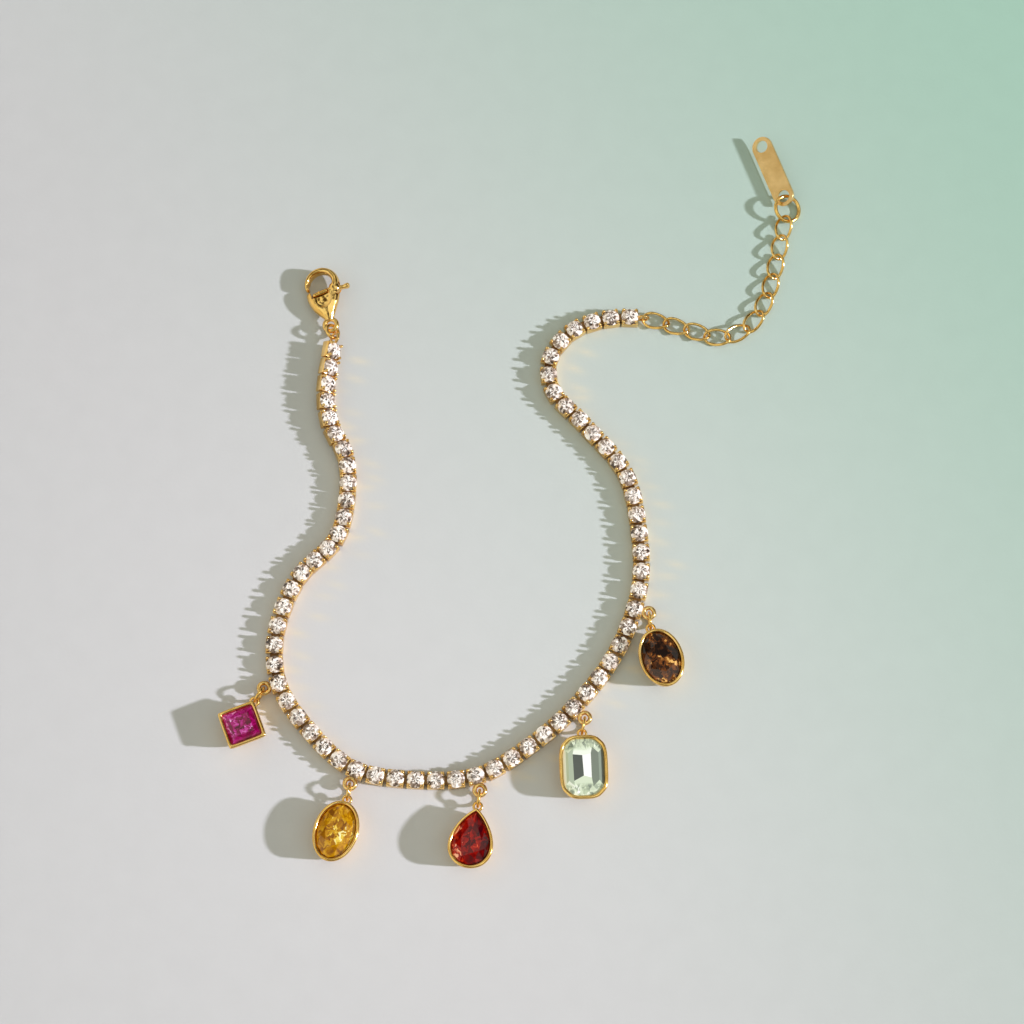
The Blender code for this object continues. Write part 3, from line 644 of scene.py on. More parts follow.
def settingTree():
    tree, given = newTree("settings", Object=["Cup"], Material=["Metal", "Painted Shade Metal"], Float=[
        "Spread Along", "Spread Across", "Prong Radius", "Foot Height", "Tip Height", "Lean", "Tip Radius"])
    start = given["Geometry"]
    corners = start.add("GeometryNodeMeshGrid", {
        "Size X": given["Spread Along"], "Size Y": given["Spread Across"], "Vertices X": 2, "Vertices Y": 2})
    x, y = start.add("GeometryNodeInputPosition").parts()[:2]
    outwards = turned(start.vector(Z=y.math("ARCTAN2", y, x)))
    tip = start.vector(X=0.0 - given["Lean"], Z=given["Tip Height"])
    line = start.add("GeometryNodeCurvePrimitiveLine", {"Start": start.vector(Z=given["Foot Height"]), "End": tip})
    ball = start.add("GeometryNodeMeshUVSphere", {"Segments": 10, "Rings": 7, "Radius": given["Tip Radius"]})
    ball = start.add("GeometryNodeTransform", {"Geometry": ball, "Translation": tip})
    prong = joined(tube(line, given["Prong Radius"], 8), smoothed(ball))
    prongs = start.add("GeometryNodeInstanceOnPoints", {"Points": corners, "Instance": prong, "Rotation": outwards})
    finishTree(tree, onPoints(start, joined(objectIn(given["Cup"]), prongs)), given["Metal"], given["Painted Shade Metal"])
    return tree


def barTree():
    # Hinge bars: one box for each point, as long as the point's own span
    tree, given = newTree("hingeBars", Object=["Bar"], Material=["Metal"])
    start = given["Geometry"]
    span = start.add("GeometryNodeInputNamedAttribute", {"Name": "span"}, data_type="FLOAT")
    scale = start.vector(X=span, Y=1.0, Z=1.0)
    finishTree(tree, onPoints(start, objectIn(given["Bar"]), Scale=scale), given["Metal"])
    return tree


def ringTree():
    tree, given = newTree("wireRings", Float=["Ring Diameter", "Wire Diameter"], Int=["Ring Steps", "Wire Sides"],
                          Material=["Metal"])
    start = given["Geometry"]
    circle = circleOf(start, given["Ring Steps"], (given["Ring Diameter"] - given["Wire Diameter"]) / 2)
    finishTree(tree, onPoints(start, tube(circle, given["Wire Diameter"] / 2, given["Wire Sides"])), given["Metal"])
    return tree


def stoneTree():
    # Stones set on the points, each turned about its own axis and given a chance value that shifts its painted sparkle
    tree, given = newTree("setStones", Object=["Stone"], Material=["Stone Material"], Int=["Seed"])
    start = given["Geometry"]

    def chance(high, seed):
        return start.add("FunctionNodeRandomValue", {2: 0.0, 3: high, "Seed": seed}, 1, data_type="FLOAT")

    stones = onPoints(start, objectIn(given["Stone"]))
    spin = turned(start.vector(Z=chance(2 * pi, given["Seed"])))
    stones = start.add("GeometryNodeRotateInstances", {"Instances": stones, "Rotation": spin, "Local Space": True})
    tone = chance(1.0, given["Seed"] + 7)
    stones = start.add("GeometryNodeStoreNamedAttribute", {"Geometry": stones, "Name": "stoneTone", "Value": tone},
                       data_type="FLOAT", domain="INSTANCE")
    finishTree(tree, stones, given["Stone Material"])
    return tree


def joinObjects(name, pieces):
    bm = bmesh.new()
    materials = list(dict.fromkeys(material for piece in pieces for material in piece.data.materials))
    for piece in pieces:
        first = len(bm.faces)
        bm.from_mesh(piece.data)
        bm.faces.ensure_lookup_table()
        slots = [materials.index(material) for material in piece.data.materials]
        for face in bm.faces[first:]:
            face.material_index = slots[face.material_index]
        bpy.data.objects.remove(piece)
    mesh = meshOf(name, bm)
    for material in materials:
        mesh.materials.append(material)
    return newObject(name, mesh)


rings = ringTree()


def ringsAt(name, matrices, diameter, wire, metal, steps=40, sides=14):
    return runTree(rings, placePoints(name, matrices), {
        "Ring Diameter": diameter, "Wire Diameter": wire, "Ring Steps": steps, "Wire Sides": sides, "Metal": metal}, name)


def buildStrand():
    places = [stoneMatrix(n) for n in range(1, strand["count"] + 1)]
    foot = setting["prongFootReach"]
    across = 2 * foot * cos(pi / 4)
    settings = runTree(settingTree(), placePoints("settingPoints", places), {
        "Cup": cupObject(), "Metal": strandGold, "Painted Shade Metal": paintedShadeGold, "Spread Along": across * setting["spread"][0],
        "Spread Across": across * setting["spread"][1], "Prong Radius": setting["prongRadius"],
        "Foot Height": setting["prongFootHeight"], "Tip Height": setting["prongTipHeight"],
        "Tip Radius": setting["tipRadius"], "Lean": foot - setting["prongTipReach"]}, "settings")
    bm = block((0, 0), (1.0, barSize["width"], barSize["thickness"]))
    long = [edge for edge in bm.edges if abs(edge.verts[0].co.x - edge.verts[1].co.x) > 0.5 * mm]
    bmesh.ops.bevel(bm, geom=long, offset=barSize["edge"] * mm, segments=2, affect="EDGES")
    # The hinge bars are painted dark, as the shade between the settings
    bar = tidyMesh("hingeBar", bm, paintedShadeGold, True)
    barPlaces, spans = [], []
    for n in range(1, strand["count"]):
        before, after = settingDistance(n), settingDistance(n + 1)
        roll = (settingRoll(n) + settingRoll(n + 1)) / 2
        rise = Matrix.Translation((0, 0, (barSize["rise"] + barSize["thickness"] / 2) * mm))
        barPlaces.append(settingMatrix((before + after) / 2, roll) @ rise)
        spans.append((after - before) / mm - strand["length"] + 2 * barSize["bite"])
    bars = runTree(barTree(), placePoints("barPoints", barPlaces, span=spans), {"Bar": bar, "Metal": paintedShadeGold}, "hingeBars")

    ends = [endLoopMatrix(1, -1), endLoopMatrix(strand["count"], 1)]
    endLoops = ringsAt("endLoops", ends, strand["endLoop"], strand["loopWire"], strandGold)
    sides = [sideLoopMatrix(drop["stone"]) for drop in drops]
    sideLoops = ringsAt("sideLoops", sides, strand["sideLoop"], strand["sideWire"], strandGold)
    metal = joinObjects("strandSettings", [settings, bars, endLoops, sideLoops])
    dressed(metal, "strand_gold", "stone_strand")
    print("Strand settings:", len(metal.data.polygons), "faces")

    radius = setting["stoneRadius"] * mm

    def outline(turn, share):
        return polar(turn, radius * share)

    faces = brilliantFacets(outline, roundCut, setting["table"] * mm, setting["girdle"] * mm)
    stone = newObject("roundStone", stoneMesh(faces, 4, (radius, radius)))
    stones = runTree(stoneTree(), placePoints("stonePoints", places), {
        "Stone": stone, "Stone Material": clearStone, "Seed": 11}, "strandStones")
    dressed(stones, "strand_gold")
    print("Round stones:", len(stones.data.polygons), "faces")


# The clear stones' colours, from painted glints through to dark facets, and their painted glow
clearColourAndSparkle = {
    "stops": [(0.0, (1.0, 0.97, 0.93)), (0.28, (1.0, 0.93, 0.87)), (0.34, (0.86, 0.77, 0.7)), (0.5, (0.66, 0.57, 0.5)),
              (0.56, (0.34, 0.265, 0.21)), (0.74, (0.19, 0.13, 0.095)), (0.82, (0.04, 0.025, 0.018))],
    "sectors": 20.0, "rings": 3.9, "zigzag": 0.9, "paintedGlow": 0.24, "specular": 0.5, "clear": 0.1, "shares": (0.55, 0.45)}


# Shares that spread the stones' painted sparkle, bend and mix the small painted glints, and bound the glints at a
# stone's ends
sparkle = {"turn": 0.37, "spin": 3.7, "cell": 91.0, "warpScale": 2.4, "warp": 0.7, "glints": 0.72, "ends": (0.48, 0.62),
           "bandEdges": (0.6, 1.3), "bandDepth": 0.45}


def paintedFacetLight(start, finish):
    # Painted light at a place in a stone, as a tone from dark to bright: painted glints and reflections of its crown's
    # own facets, and through them and the table the facets below, as wedges in zigzag rings about the middle.
    facet, own, place = (start.add("ShaderNodeAttribute", out=out, attribute_name=name) for name, out in (
        ("facetPaintedLight", "Fac"), ("stoneTone", "Fac"), ("stonePlace", "Vector")))
    along, across = place.parts()[:2]
    radius = (along * along + across * across).only("SQRT")
    turn = across.math("ARCTAN2", across, along) * (1 / (2 * pi)) + 0.5 + own * sparkle["turn"]
    wave = turn * (finish["sectors"] / 2)
    zigzag = wave.math("PINGPONG", wave, 0.5)
    ring = radius * finish["rings"] + zigzag * finish["zigzag"] + own
    cell = start.vector(X=(turn * finish["sectors"]).only("FLOOR"), Y=ring.only("FLOOR"), Z=own * sparkle["cell"])
    chance = start.add("ShaderNodeTexWhiteNoise", {"Vector": cell}, "Value", noise_dimensions="3D")
    if "crushed" in finish:
        # Small irregular painted glints in place of the wedges
        warp = noise(place, sparkle["warpScale"], 2.0, "Color")
        bent = start.add("ShaderNodeVectorMath", {0: warp, 1: [sparkle["warp"]] * 3, 2: place}, operation="MULTIPLY_ADD")
        grain = start.add("ShaderNodeTexVoronoi", {"Vector": bent, "Scale": finish["crushed"]}, "Color",
                          distance="MANHATTAN")
        grain = start.add("ShaderNodeSeparateColor", {0: grain})
        chance = grain * sparkle["glints"] + chance * (1 - sparkle["glints"])
    inTable = facet.math("LESS_THAN", facet, 0.0)
    spun = (facet + own * sparkle["spin"]).only("FRACT")
    crown = spun * finish["shares"][0] + chance * finish["shares"][1]
    if "ends" in finish:
        # Only the stone's two ends show the small painted glints
        share = smoothStep(along.only("ABSOLUTE"), *sparkle["ends"]) * finish["ends"]
        crown = spun * (1.0 - share) + chance * share
    # Painted light: one side of the stone brighter than the other, and its rim brighter than its middle
    shift = across * finish.get("side", 0.0) + (radius - 0.5) * finish.get("rim", 0.0)
    if "band" in finish:
        # A painted dark band across the stone: its direction, its distance from the middle and its half width
        alongWay, acrossWay, offset, width = finish["band"]
        away = (along * alongWay + across * acrossWay - offset).only("ABSOLUTE")
        inner, outer = sparkle["bandEdges"]
        shift = shift - (1.0 - smoothStep(away, width * inner, width * outer)) * sparkle["bandDepth"]
    tone = chance * inTable + crown * (1.0 - inTable)
    return clamp01((tone - 0.5) * finish.get("contrast", 1.0) + 0.5 + shift)


def stoneMaterial(name, finish):
    # Stones sparkle by painted light in their facets: the ramp turns it into the stone's own colour, dark or a painted
    # glint, and that colour also glows a little as painted light, though the stone is no lamp.
    material, start, shader = newMaterial(name, {
        "Roughness": 0.03, "IOR": 1.6, "Specular IOR Level": finish["specular"], "Transmission Weight": finish["clear"],
        "Emission Strength": finish["paintedGlow"]})
    tone = paintedFacetLight(start, finish)
    ramp = start.add("ShaderNodeValToRGB", {"Fac": tone}, stops=finish["stops"])
    feed(shader, Base_Color=ramp, Emission_Color=ramp)
    return material


clearStone = stoneMaterial("clearStone", clearColourAndSparkle)

# The drops

# Tint, cut, number of the stone that carries it, length, width, and the headings of its jump ring and of the drop
dropTable = [
    ("pink", "square", 21, 5.4, 5.4, -121.7, -113.8), ("citrine", "oval", 27, 8.5, 6.2, -98.3, -107.0),
    ("red", "pear", 33, 8.3, 6.2, -96.8, -99.9), ("pale", "octagon", 39, 8.9, 6.7, -100.4, -88.0),
    ("smoky", "oval", 45, 8.4, 6.2, -85.2, -72.8),
]
drops = [{"name": tint + cut.capitalize(), "node": f"{tint}_{cut}", "cut": cut, "stone": stone, "length": length,
          "width": width, "ring": ring, "lean": lean} for tint, cut, stone, length, width, ring, lean in dropTable]
dropSize = {"ring": 2.75, "ringWire": 0.42, "bail": 1.5, "bailWire": 0.36, "bailRise": 1.7, "height": 3.2,
            "stoneInset": 0.54, "girdleTop": 2.78, "tableTop": 3.16,
            "squareCut": 0.09, "squareRim": (0.05, 0.3), "octagonRim": (0.24, 0.36), "octagonCut": 0.2, "pearShift": -0.3,
            "pearPower": 0.7, "wallProfile": [(0.0, 1.0), (0.4, 0.3), (0.8, 0.09)], "taper": 0.9}
# How far in from the rim's outer edge, and how high, up the outer wall, over the rolled rim and down inside
bezelWall = [(0.9, 0.0), (0.72, 0.22), (0.5, 0.62), (0.33, 1.05), (0.2, 1.6), (0.12, 2.1), (0.09, 2.45), (0.1, 2.66),
             (0.03, 2.74), (-0.01, 2.88), (0.0, 3.02), (0.06, 3.14), (0.17, 3.2), (0.3, 3.19), (0.41, 3.12), (0.47, 3.0),
             (0.49, 2.86), (0.53, 2.7), (0.7, 2.5), (0.9, 1.6), (1.2, 0.0)]


def cutCorners(length, width, cut):
    x, y = length / 2, width / 2
    return [Vector(p) for p in ((x, y - cut), (x - cut, y), (cut - x, y), (-x, y - cut),
                                (-x, cut - y), (cut - x, -y), (x - cut, -y), (x, cut - y))]


def outlinePoint(drop, turn, inset, share=1.0):
    # A point of the drop's outline, inset by a distance and drawn in to a share of its size.
    length = (drop["length"] - 2 * inset) * share
    width = (drop["width"] - 2 * inset) * share
    if drop["cut"] == "pear":
        height = sin(turn) * abs(sin(turn / 2)) ** dropSize["pearPower"]
        return Vector((length / 2 * cos(turn), width / 2 * height / pearFullest))
    return Vector((length / 2 * cos(turn), width / 2 * sin(turn)))


pearFullest = max(sin(t / 500) * sin(t / 1000) ** dropSize["pearPower"] for t in range(1571))


def softLoop(corners, radiusShare, steps):
    # A polygon's loop with each corner rounded by a quadratic arc, and points spread along its sides.
    loop = []
    for i, corner in enumerate(corners):
        before = corner.lerp(corners[i - 1], radiusShare)
        after = corner.lerp(corners[(i + 1) % len(corners)], radiusShare)
        for step in range(steps + 1):
            t = step / steps
            loop.append(before * (1 - t) ** 2 + corner * 2 * t * (1 - t) + after * t * t)
    return loop


def dropLoop(drop, inset, height):
    # The drop's outline at an inset, finely divided.
    if drop["cut"] in ("oval", "pear"):
        flat = [outlinePoint(drop, 2 * pi * i / 72, inset) for i in range(72)]
    else:
        length, width = drop["length"] - 2 * inset, drop["width"] - 2 * inset
        if drop["cut"] == "octagon":
            cut, soft = dropSize["octagonRim"]
            flat = softLoop(cutCorners(length, width, width * cut), soft, 6)
        else:
            cut, soft = dropSize["squareRim"]
            flat = [Matrix.Rotation(pi / 4, 2) @ p for p in softLoop(cutCorners(length, width, width * cut), soft, 6)]
    return [Vector((p.x * mm, p.y * mm, height * mm)) for p in flat]


def wallInset(height):
    profile = dropSize["wallProfile"]
    for (low, inset), (high, after) in zip(profile, profile[1:]):
        if height <= high * dropSize["height"]:
            return dropSize["taper"] * (inset + (after - inset) * (height / dropSize["height"] - low) / (high - low))


def cadReach(drop):
    # How far the bezel's wall reaches towards the bail, at the bail's height, in the solids.
    inset = wallInset(dropSize["bailRise"])
    if drop["cut"] in ("oval", "pear", "octagon"):
        return drop["length"] / 2 - inset
    width = drop["width"] - 2 * inset
    return max((Matrix.Rotation(pi / 4, 2) @ corner).x for corner in cutCorners(width, width, width * dropSize["squareCut"]))


def stepFacets(rings):
    # Step cuts: flat rings of facets from the table down to the keel.
    faces = []
    for upper, lower in zip(rings, rings[1:]):
        for i in range(len(upper)):
            j = (i + 1) % len(upper)
            faces.append((upper[i], lower[i], lower[j], upper[j]))
    faces.append(tuple(reversed(rings[-1])))
    return faces


# What shows through the step cut's table, as flat fields of painted light: their tones and their corners, as shares
# of half the stone's length and width. T0 to T7 are the table's own corners.
stepFields = [
    (0.04, "ACDB"), (0.97, "CEFD"), (0.27, ["E", "T7", "T6", "T5", "T4", "F"]), (0.72, ["B", "D", "F", "T4", "T3"]),
    (0.86, ["A", "T0", "T7", "E", "C"]), (0.5, ["A", "B", "T3", "T2", "T1", "T0"]),
]
# Painted light tones of the two rings of crown facets about the table, each from its upper left corner, by the left
# side, round
crownPaintedLight = [0.8, 0.62, 0.84, 0.76, 0.66, 0.36, 0.72, 0.88, 0.56, 0.86, 0.62, 0.92, 0.7, 0.2, 0.52, 0.64]
stepPoints = {"A": (0.45, 0.52), "B": (-0.5, 0.5), "C": (0.41, 0.05), "D": (-0.32, 0.01), "E": (0.46, -0.37),
              "F": (-0.4, -0.37)}


# Rings of the octagon and of the square, from the table down: shares of the size and the height over the girdle's top
octagonRings = [(0.7, 0.74, 0.38), (0.84, 0.86, 0.2), (1.0, 1.0, 0.0), (1.0, 1.0, -0.1), (0.8, 0.74, -0.75),
                (0.6, 0.45, -1.4), (0.42, 0.06, -2.1)]
squareRings = [(0.62, 0.38), (0.84, 0.2), (0.99, 0.0), (0.99, -0.1), (0.62, -0.9), (0.32, -1.55), (0.0, -2.1)]


def octagonFacets(drop):
    inset, top = dropSize["stoneInset"], dropSize["tableTop"]
    length, width = drop["length"] - 2 * inset, drop["width"] - 2 * inset
    rings = []
    for along, across, rise in octagonRings:
        corners = cutCorners(length * along, width * across, width * dropSize["octagonCut"] * across)
        rings.append([Vector((p.x, p.y, dropSize["girdleTop"] + rise)) * mm for p in corners])
    named = {f"T{i}": point for i, point in enumerate(rings[0])}
    for name, (x, y) in stepPoints.items():
        named[name] = Vector((x * length / 2, y * width / 2, top)) * mm
    table = [tuple(named[name] for name in names) for tone, names in stepFields]
    return table + stepFacets(rings)


def squareFacets(drop):
    # A princess cut: a square table, split crown sides, and chevrons down to the culet.
    half = (drop["width"] - 2 * dropSize["stoneInset"]) / 2

    def corner(k):
        # One corner of each ring, the last of which is the culet
        return [polar(pi / 2 * k, half * sqrt(2) * share, dropSize["girdleTop"] + rise) * mm for share, rise in squareRings]

    faces = [tuple(corner(i)[0] for i in range(4))]
    for i in range(4):
        tableA, starA, girdleA, footA, lowA, deepA, culet = corner(i)
        tableB, starB, girdleB, footB, lowB, deepB, culet = corner(i + 1)
        starM, girdleM, footM = (starA + starB) / 2, (girdleA + girdleB) / 2, (footA + footB) / 2
        faces += [(tableA, starA, starM), (tableA, starM, tableB), (tableB, starM, starB),
                  (starA, girdleA, girdleM), (starA, girdleM, starM), (starM, girdleM, starB), (starB, girdleM, girdleB),
                  (girdleA, footA, footM, girdleM), (girdleM, footM, footB, girdleB),
                  (footA, lowA, footM), (footM, lowB, footB), (footM, lowA, deepA), (footM, deepA, deepB),
                  (footM, deepB, lowB), (deepA, culet, deepB)]
    return faces


gemCut = {"table": 0.58, "star": 0.8, "low": 0.4, "girdle": 0.1, "depth": 2.0}


def dropStone(drop, material):
    inset = dropSize["stoneInset"]
    if drop["cut"] == "octagon":
        faces = octagonFacets(drop)
    elif drop["cut"] == "square":
        faces = squareFacets(drop)
    else:
        def outline(turn, share):
            shift = (1 - share) * (dropSize["pearShift"] if drop["cut"] == "pear" else 0.0)
            point = outlinePoint(drop, turn % (2 * pi), inset, share)
            return (point.x + shift) * mm, point.y * mm
        faces = brilliantFacets(outline, gemCut, dropSize["tableTop"] * mm, dropSize["girdleTop"] * mm)
    given = [tone for tone, names in stepFields] + crownPaintedLight if drop["cut"] == "octagon" else []
    mesh = stoneMesh(faces, drop["stone"], (drop["length"] / 2 * mm, drop["width"] / 2 * mm), given)
    mesh.materials.append(material)
    return newObject(drop["name"] + "Stone", mesh)


gemBase = {"sectors": 14.0, "rings": 5.2, "zigzag": 1.1, "paintedGlow": 0.12, "specular": 0.3, "clear": 0.15, "crushed": 6.5}
# Each drop stone's own colour, from dark to painted glints, and the painted light that shifts it
gemColourAndSparkle = {
    "pinkSquare": {
        "stops": [(0.0, (0.08, 0.0, 0.015)), (0.3, (0.19, 0.0, 0.045)), (0.5, (0.3, 0.003, 0.1)),
                  (0.7, (0.42, 0.012, 0.2)), (0.85, (0.56, 0.08, 0.36)), (0.95, (0.9, 0.5, 0.76))],
        "sectors": 12.0, "rings": 4.2, "zigzag": 0.9, "paintedGlow": 0.14, "shares": (0.3, 0.5), "contrast": 1.15,
        "side": 0.2, "rim": 0.34},
    "citrineOval": {
        "stops": [(0.0, (0.2, 0.065, 0.0)), (0.25, (0.36, 0.14, 0.001)), (0.5, (0.52, 0.24, 0.002)),
                  (0.76, (0.66, 0.36, 0.01)), (0.88, (0.9, 0.66, 0.08)), (0.97, (1.0, 0.95, 0.5))],
        "shares": (0.25, 0.6), "crushed": 7.0, "contrast": 1.3, "side": -0.16},
    "redPear": {
        "stops": [(0.0, (0.04, 0.0, 0.004)), (0.25, (0.085, 0.0, 0.001)), (0.5, (0.18, 0.001, 0.001)),
                  (0.74, (0.33, 0.004, 0.001)), (0.87, (0.66, 0.05, 0.01)), (0.95, (1.0, 0.5, 0.3))],
        "rings": 4.6, "zigzag": 1.0, "specular": 0.2, "shares": (0.4, 0.55), "side": 0.26, "rim": 0.2},
    "paleOctagon": {
        "stops": [(0.0, (0.05, 0.058, 0.054)), (0.2, (0.13, 0.15, 0.125)), (0.4, (0.27, 0.32, 0.25)),
                  (0.6, (0.52, 0.6, 0.43)), (0.8, (0.78, 0.86, 0.68)), (0.93, (1.0, 1.0, 0.98))],
        "sectors": 26.0, "rings": 7.0, "zigzag": 0.8, "paintedGlow": 0.14, "specular": 0.4, "shares": (1.0, 0.0),
        "crushed": 6.0, "ends": 0.6},
    "smokyOval": {
        "stops": [(0.0, (0.01, 0.004, 0.003)), (0.3, (0.035, 0.012, 0.005)), (0.55, (0.1, 0.03, 0.008)),
                  (0.74, (0.2, 0.062, 0.012)), (0.86, (0.42, 0.16, 0.03)), (0.95, (0.9, 0.52, 0.15))],
        "shares": (0.25, 0.75), "crushed": 8.0, "contrast": 1.25, "band": (0.92, -0.39, 0.26, 0.2), "rim": 0.15},
}


def buildDrop(drop):
    node = drop["node"]
    loop = sideLoopMatrix(drop["stone"]).translation
    ringTurn = radians(drop["ring"])
    ringReach = polar(ringTurn, (dropSize["ring"] - dropSize["ringWire"]) / 2 * mm, 0)
    ringPlace = Vector((loop.x, loop.y, dropSize["ring"] / 2 * mm)) + ringReach
    upright = Matrix.Translation(ringPlace) @ Matrix.Rotation(ringTurn, 4, "Z") @ Matrix.Rotation(pi / 2, 4, "X")
    jumpRing = ringsAt(drop["name"] + "JumpRing", [upright], dropSize["ring"], dropSize["ringWire"], polishedGold)
    dressed(jumpRing, "polished_gold", node + "_jump_ring")

    bailPlace = ringPlace + ringReach
    lean = radians(drop["lean"])
    bailReach = cadReach(drop) + dropSize["bail"] / 2 - strand["loopBite"]
    centre = Vector((bailPlace.x, bailPlace.y, 0)) + polar(lean, bailReach * mm, 0)
    placed = headingMatrix(centre, lean + pi)
    wall = loftRings([dropLoop(drop, inset, height) for inset, height in bezelWall], closed=True)
    bezel = tidyMesh(drop["name"] + "Cup", wall, polishedGold, True)
    bezel.data.transform(placed)
    bail = ringsAt("bail", [placed @ Matrix.Translation((bailReach * mm, 0, dropSize["bailRise"] * mm))],
                   dropSize["bail"], dropSize["bailWire"], polishedGold, 32, 12)
    cup = joinObjects(drop["name"] + "Bezel", [bezel, bail])
    dressed(cup, "polished_gold", node + "_bezel")

    stone = dropStone(drop, stoneMaterial(drop["name"] + "Gem", {**gemBase, **gemColourAndSparkle[drop["name"]]}))
    stone.data.transform(placed)
    dressed(stone, node + "_glass", node + "_stone")


buildStrand()
for drop in drops:
    buildDrop(drop)
    print("Drop", drop["name"])

# The extender chain

chain = {"count": 11, "length": 4.2, "width": 2.6, "wire": 0.42, "twist": 0.36, "slack": 0.28,
         "rolls": {3: 8, 4: 14, 5: 4},
         "lifts": {1: 0.48, 2: 0.17, 3: 0.24, 5: 0.24, 6: 0.12, 9: 0.17, 10: 0.48, 11: 0.81}}
endRing = {"diameter": 4.4, "wire": 0.55, "roll": 22.0}


def linkPitch():
    return chain["length"] - 2 * chain["wire"] - chain["slack"]


def linkDistance(number):
    loopPlace = strand["length"] / 2 + strand["endLoop"] / 2 - strand["loopBite"]
    first = settingDistance(strand["count"]) / mm + loopPlace + (chain["length"] - chain["wire"]) / 2
    return (first + (number - 1) * linkPitch()) * mm


def linkMatrix(number):
    roll = radians(chain["rolls"].get(number, 0))
    rolled = Matrix.Rotation(roll, 3, "X")
    lowest = 0.0
    for i in range(14):
        turn = 2 * pi * i / 14
        across = (chain["width"] - chain["wire"]) / 2 * sin(turn)
        lowest = min(lowest, (rolled @ Vector((0, across, -chain["twist"] * sin(2 * turn)))).z)
    height = chain["wire"] / 2 - lowest + chain["lifts"].get(number, 0) * chain["wire"]
    return routeMatrix(linkDistance(number), linkPitch() / 2 * mm, height * mm, roll)


def linkTree():
    # A unit circle is stretched to the link's oval, and its ends twist by the product of its sine and cosine.
    tree, given = newTree("twistedLinks", Float=["Link Length", "Link Width", "Link Twist", "Wire Diameter"],
                          Material=["Metal"])
    start = given["Geometry"]
    x, y = start.add("GeometryNodeInputPosition").parts()[:2]
    along = x * ((given["Link Length"] - given["Wire Diameter"]) / 2)
    across = y * ((given["Link Width"] - given["Wire Diameter"]) / 2)
    oval = start.vector(X=along, Y=across, Z=x * y * given["Link Twist"] * -2.0)
    bent = start.add("GeometryNodeSetPosition", {"Geometry": circleOf(start, 44, 1.0), "Position": oval})
    finishTree(tree, onPoints(start, tube(bent, given["Wire Diameter"] / 2, 12)), given["Metal"])
    return tree


def buildChain():
    numbers = range(1, chain["count"] + 1)
    links = runTree(linkTree(), placePoints("linkPoints", [linkMatrix(n) for n in numbers]), {
        "Link Length": chain["length"], "Link Width": chain["width"], "Link Twist": chain["twist"],
        "Wire Diameter": chain["wire"], "Metal": polishedGold}, "extenderLinks")
    dressed(links, "polished_gold", *[f"extender_link_{n:02d}" for n in numbers])
    print("Links:", len(links.data.polygons), "faces")


def endRingMatrix():
    radius = (endRing["diameter"] - endRing["wire"]) / 2
    roll = radians(endRing["roll"])
    hold = (chain["length"] - chain["wire"]) / 2 - (chain["wire"] + endRing["wire"]) / 2 - chain["slack"]
    height = radius * sin(roll) + endRing["wire"] / 2
    return routeMatrix(linkDistance(chain["count"]) + (hold + radius) * mm, radius * mm, height * mm, roll)


tag = {"length": 11.4, "width": 3.2, "thickness": 0.8, "hole": 1.8, "inset": 1.45, "bearing": 102.0, "heading": 110.6,
       "roll": -32.0, "edge": 0.07, "plate": 0.52}


def buildTag():
    ring = endRingMatrix()
    endLoop = ringsAt("endRing", [ring], endRing["diameter"], endRing["wire"], polishedGold, 56, 16)
    dressed(endLoop, "polished_gold", "end_ring")
    radius = (endRing["diameter"] - endRing["wire"]) / 2 * mm
    bearing = radians(tag["bearing"])
    level = ring.translation + polar(bearing, radius, 0)
    roll = radians(tag["roll"])
    middle = (tag["thickness"] / 2 * cos(roll) + tag["width"] / 2 * sin(-roll)) * mm
    placed = headingMatrix((level.x, level.y, middle), radians(tag["heading"]), roll)

    # A flat outline with two holes, thickened and softened at its edges.
    data = bpy.data.curves.new("tag", "CURVE")
    data.dimensions = "2D"
    data.fill_mode = "BOTH"
    edge = tag["edge"]
    data.extrude = (tag["plate"] / 2 - edge) * mm
    data.bevel_depth = edge * mm
    data.bevel_resolution = 3
    far = tag["length"] - 2 * tag["inset"]
    cap = tag["width"] / 2
    outline = []
    for end, start in ((far + tag["inset"] - cap, -90), (cap - tag["inset"], 90)):
        outline += [polar(radians(start + s * 10), cap - edge) + Vector((end, 0)) for s in range(19)]
    holes = [[polar(-pi * s / 18, tag["hole"] / 2 + edge) + Vector((where, 0)) for s in range(36)] for where in (0.0, far)]
    for loop in (outline, *holes):
        spline = data.splines.new("POLY")
        spline.use_cyclic_u = True
        spline.points.add(len(loop) - 1)
        for point, (x, y) in zip(spline.points, loop):
            point.co = (x * mm, y * mm, 0, 1)
    raw = plainMesh(newObject("tagCurve", data), "tagRaw")
    bm = bmesh.new()
    bm.from_mesh(raw.data)
    bpy.data.objects.remove(raw)
    plate = tidyMesh("tagPlate", bm, plateGold, True)
    for face in plate.data.polygons:
        face.use_smooth = abs(face.normal.z) < 0.99
    plate.data.transform(placed @ Matrix.Translation((0, 0, (tag["thickness"] - tag["plate"]) / 2 * mm)))
    dressed(plate, "polished_gold", "tag_plate")


buildChain()
buildTag()
print("Chain and tag ready")

# The clasp

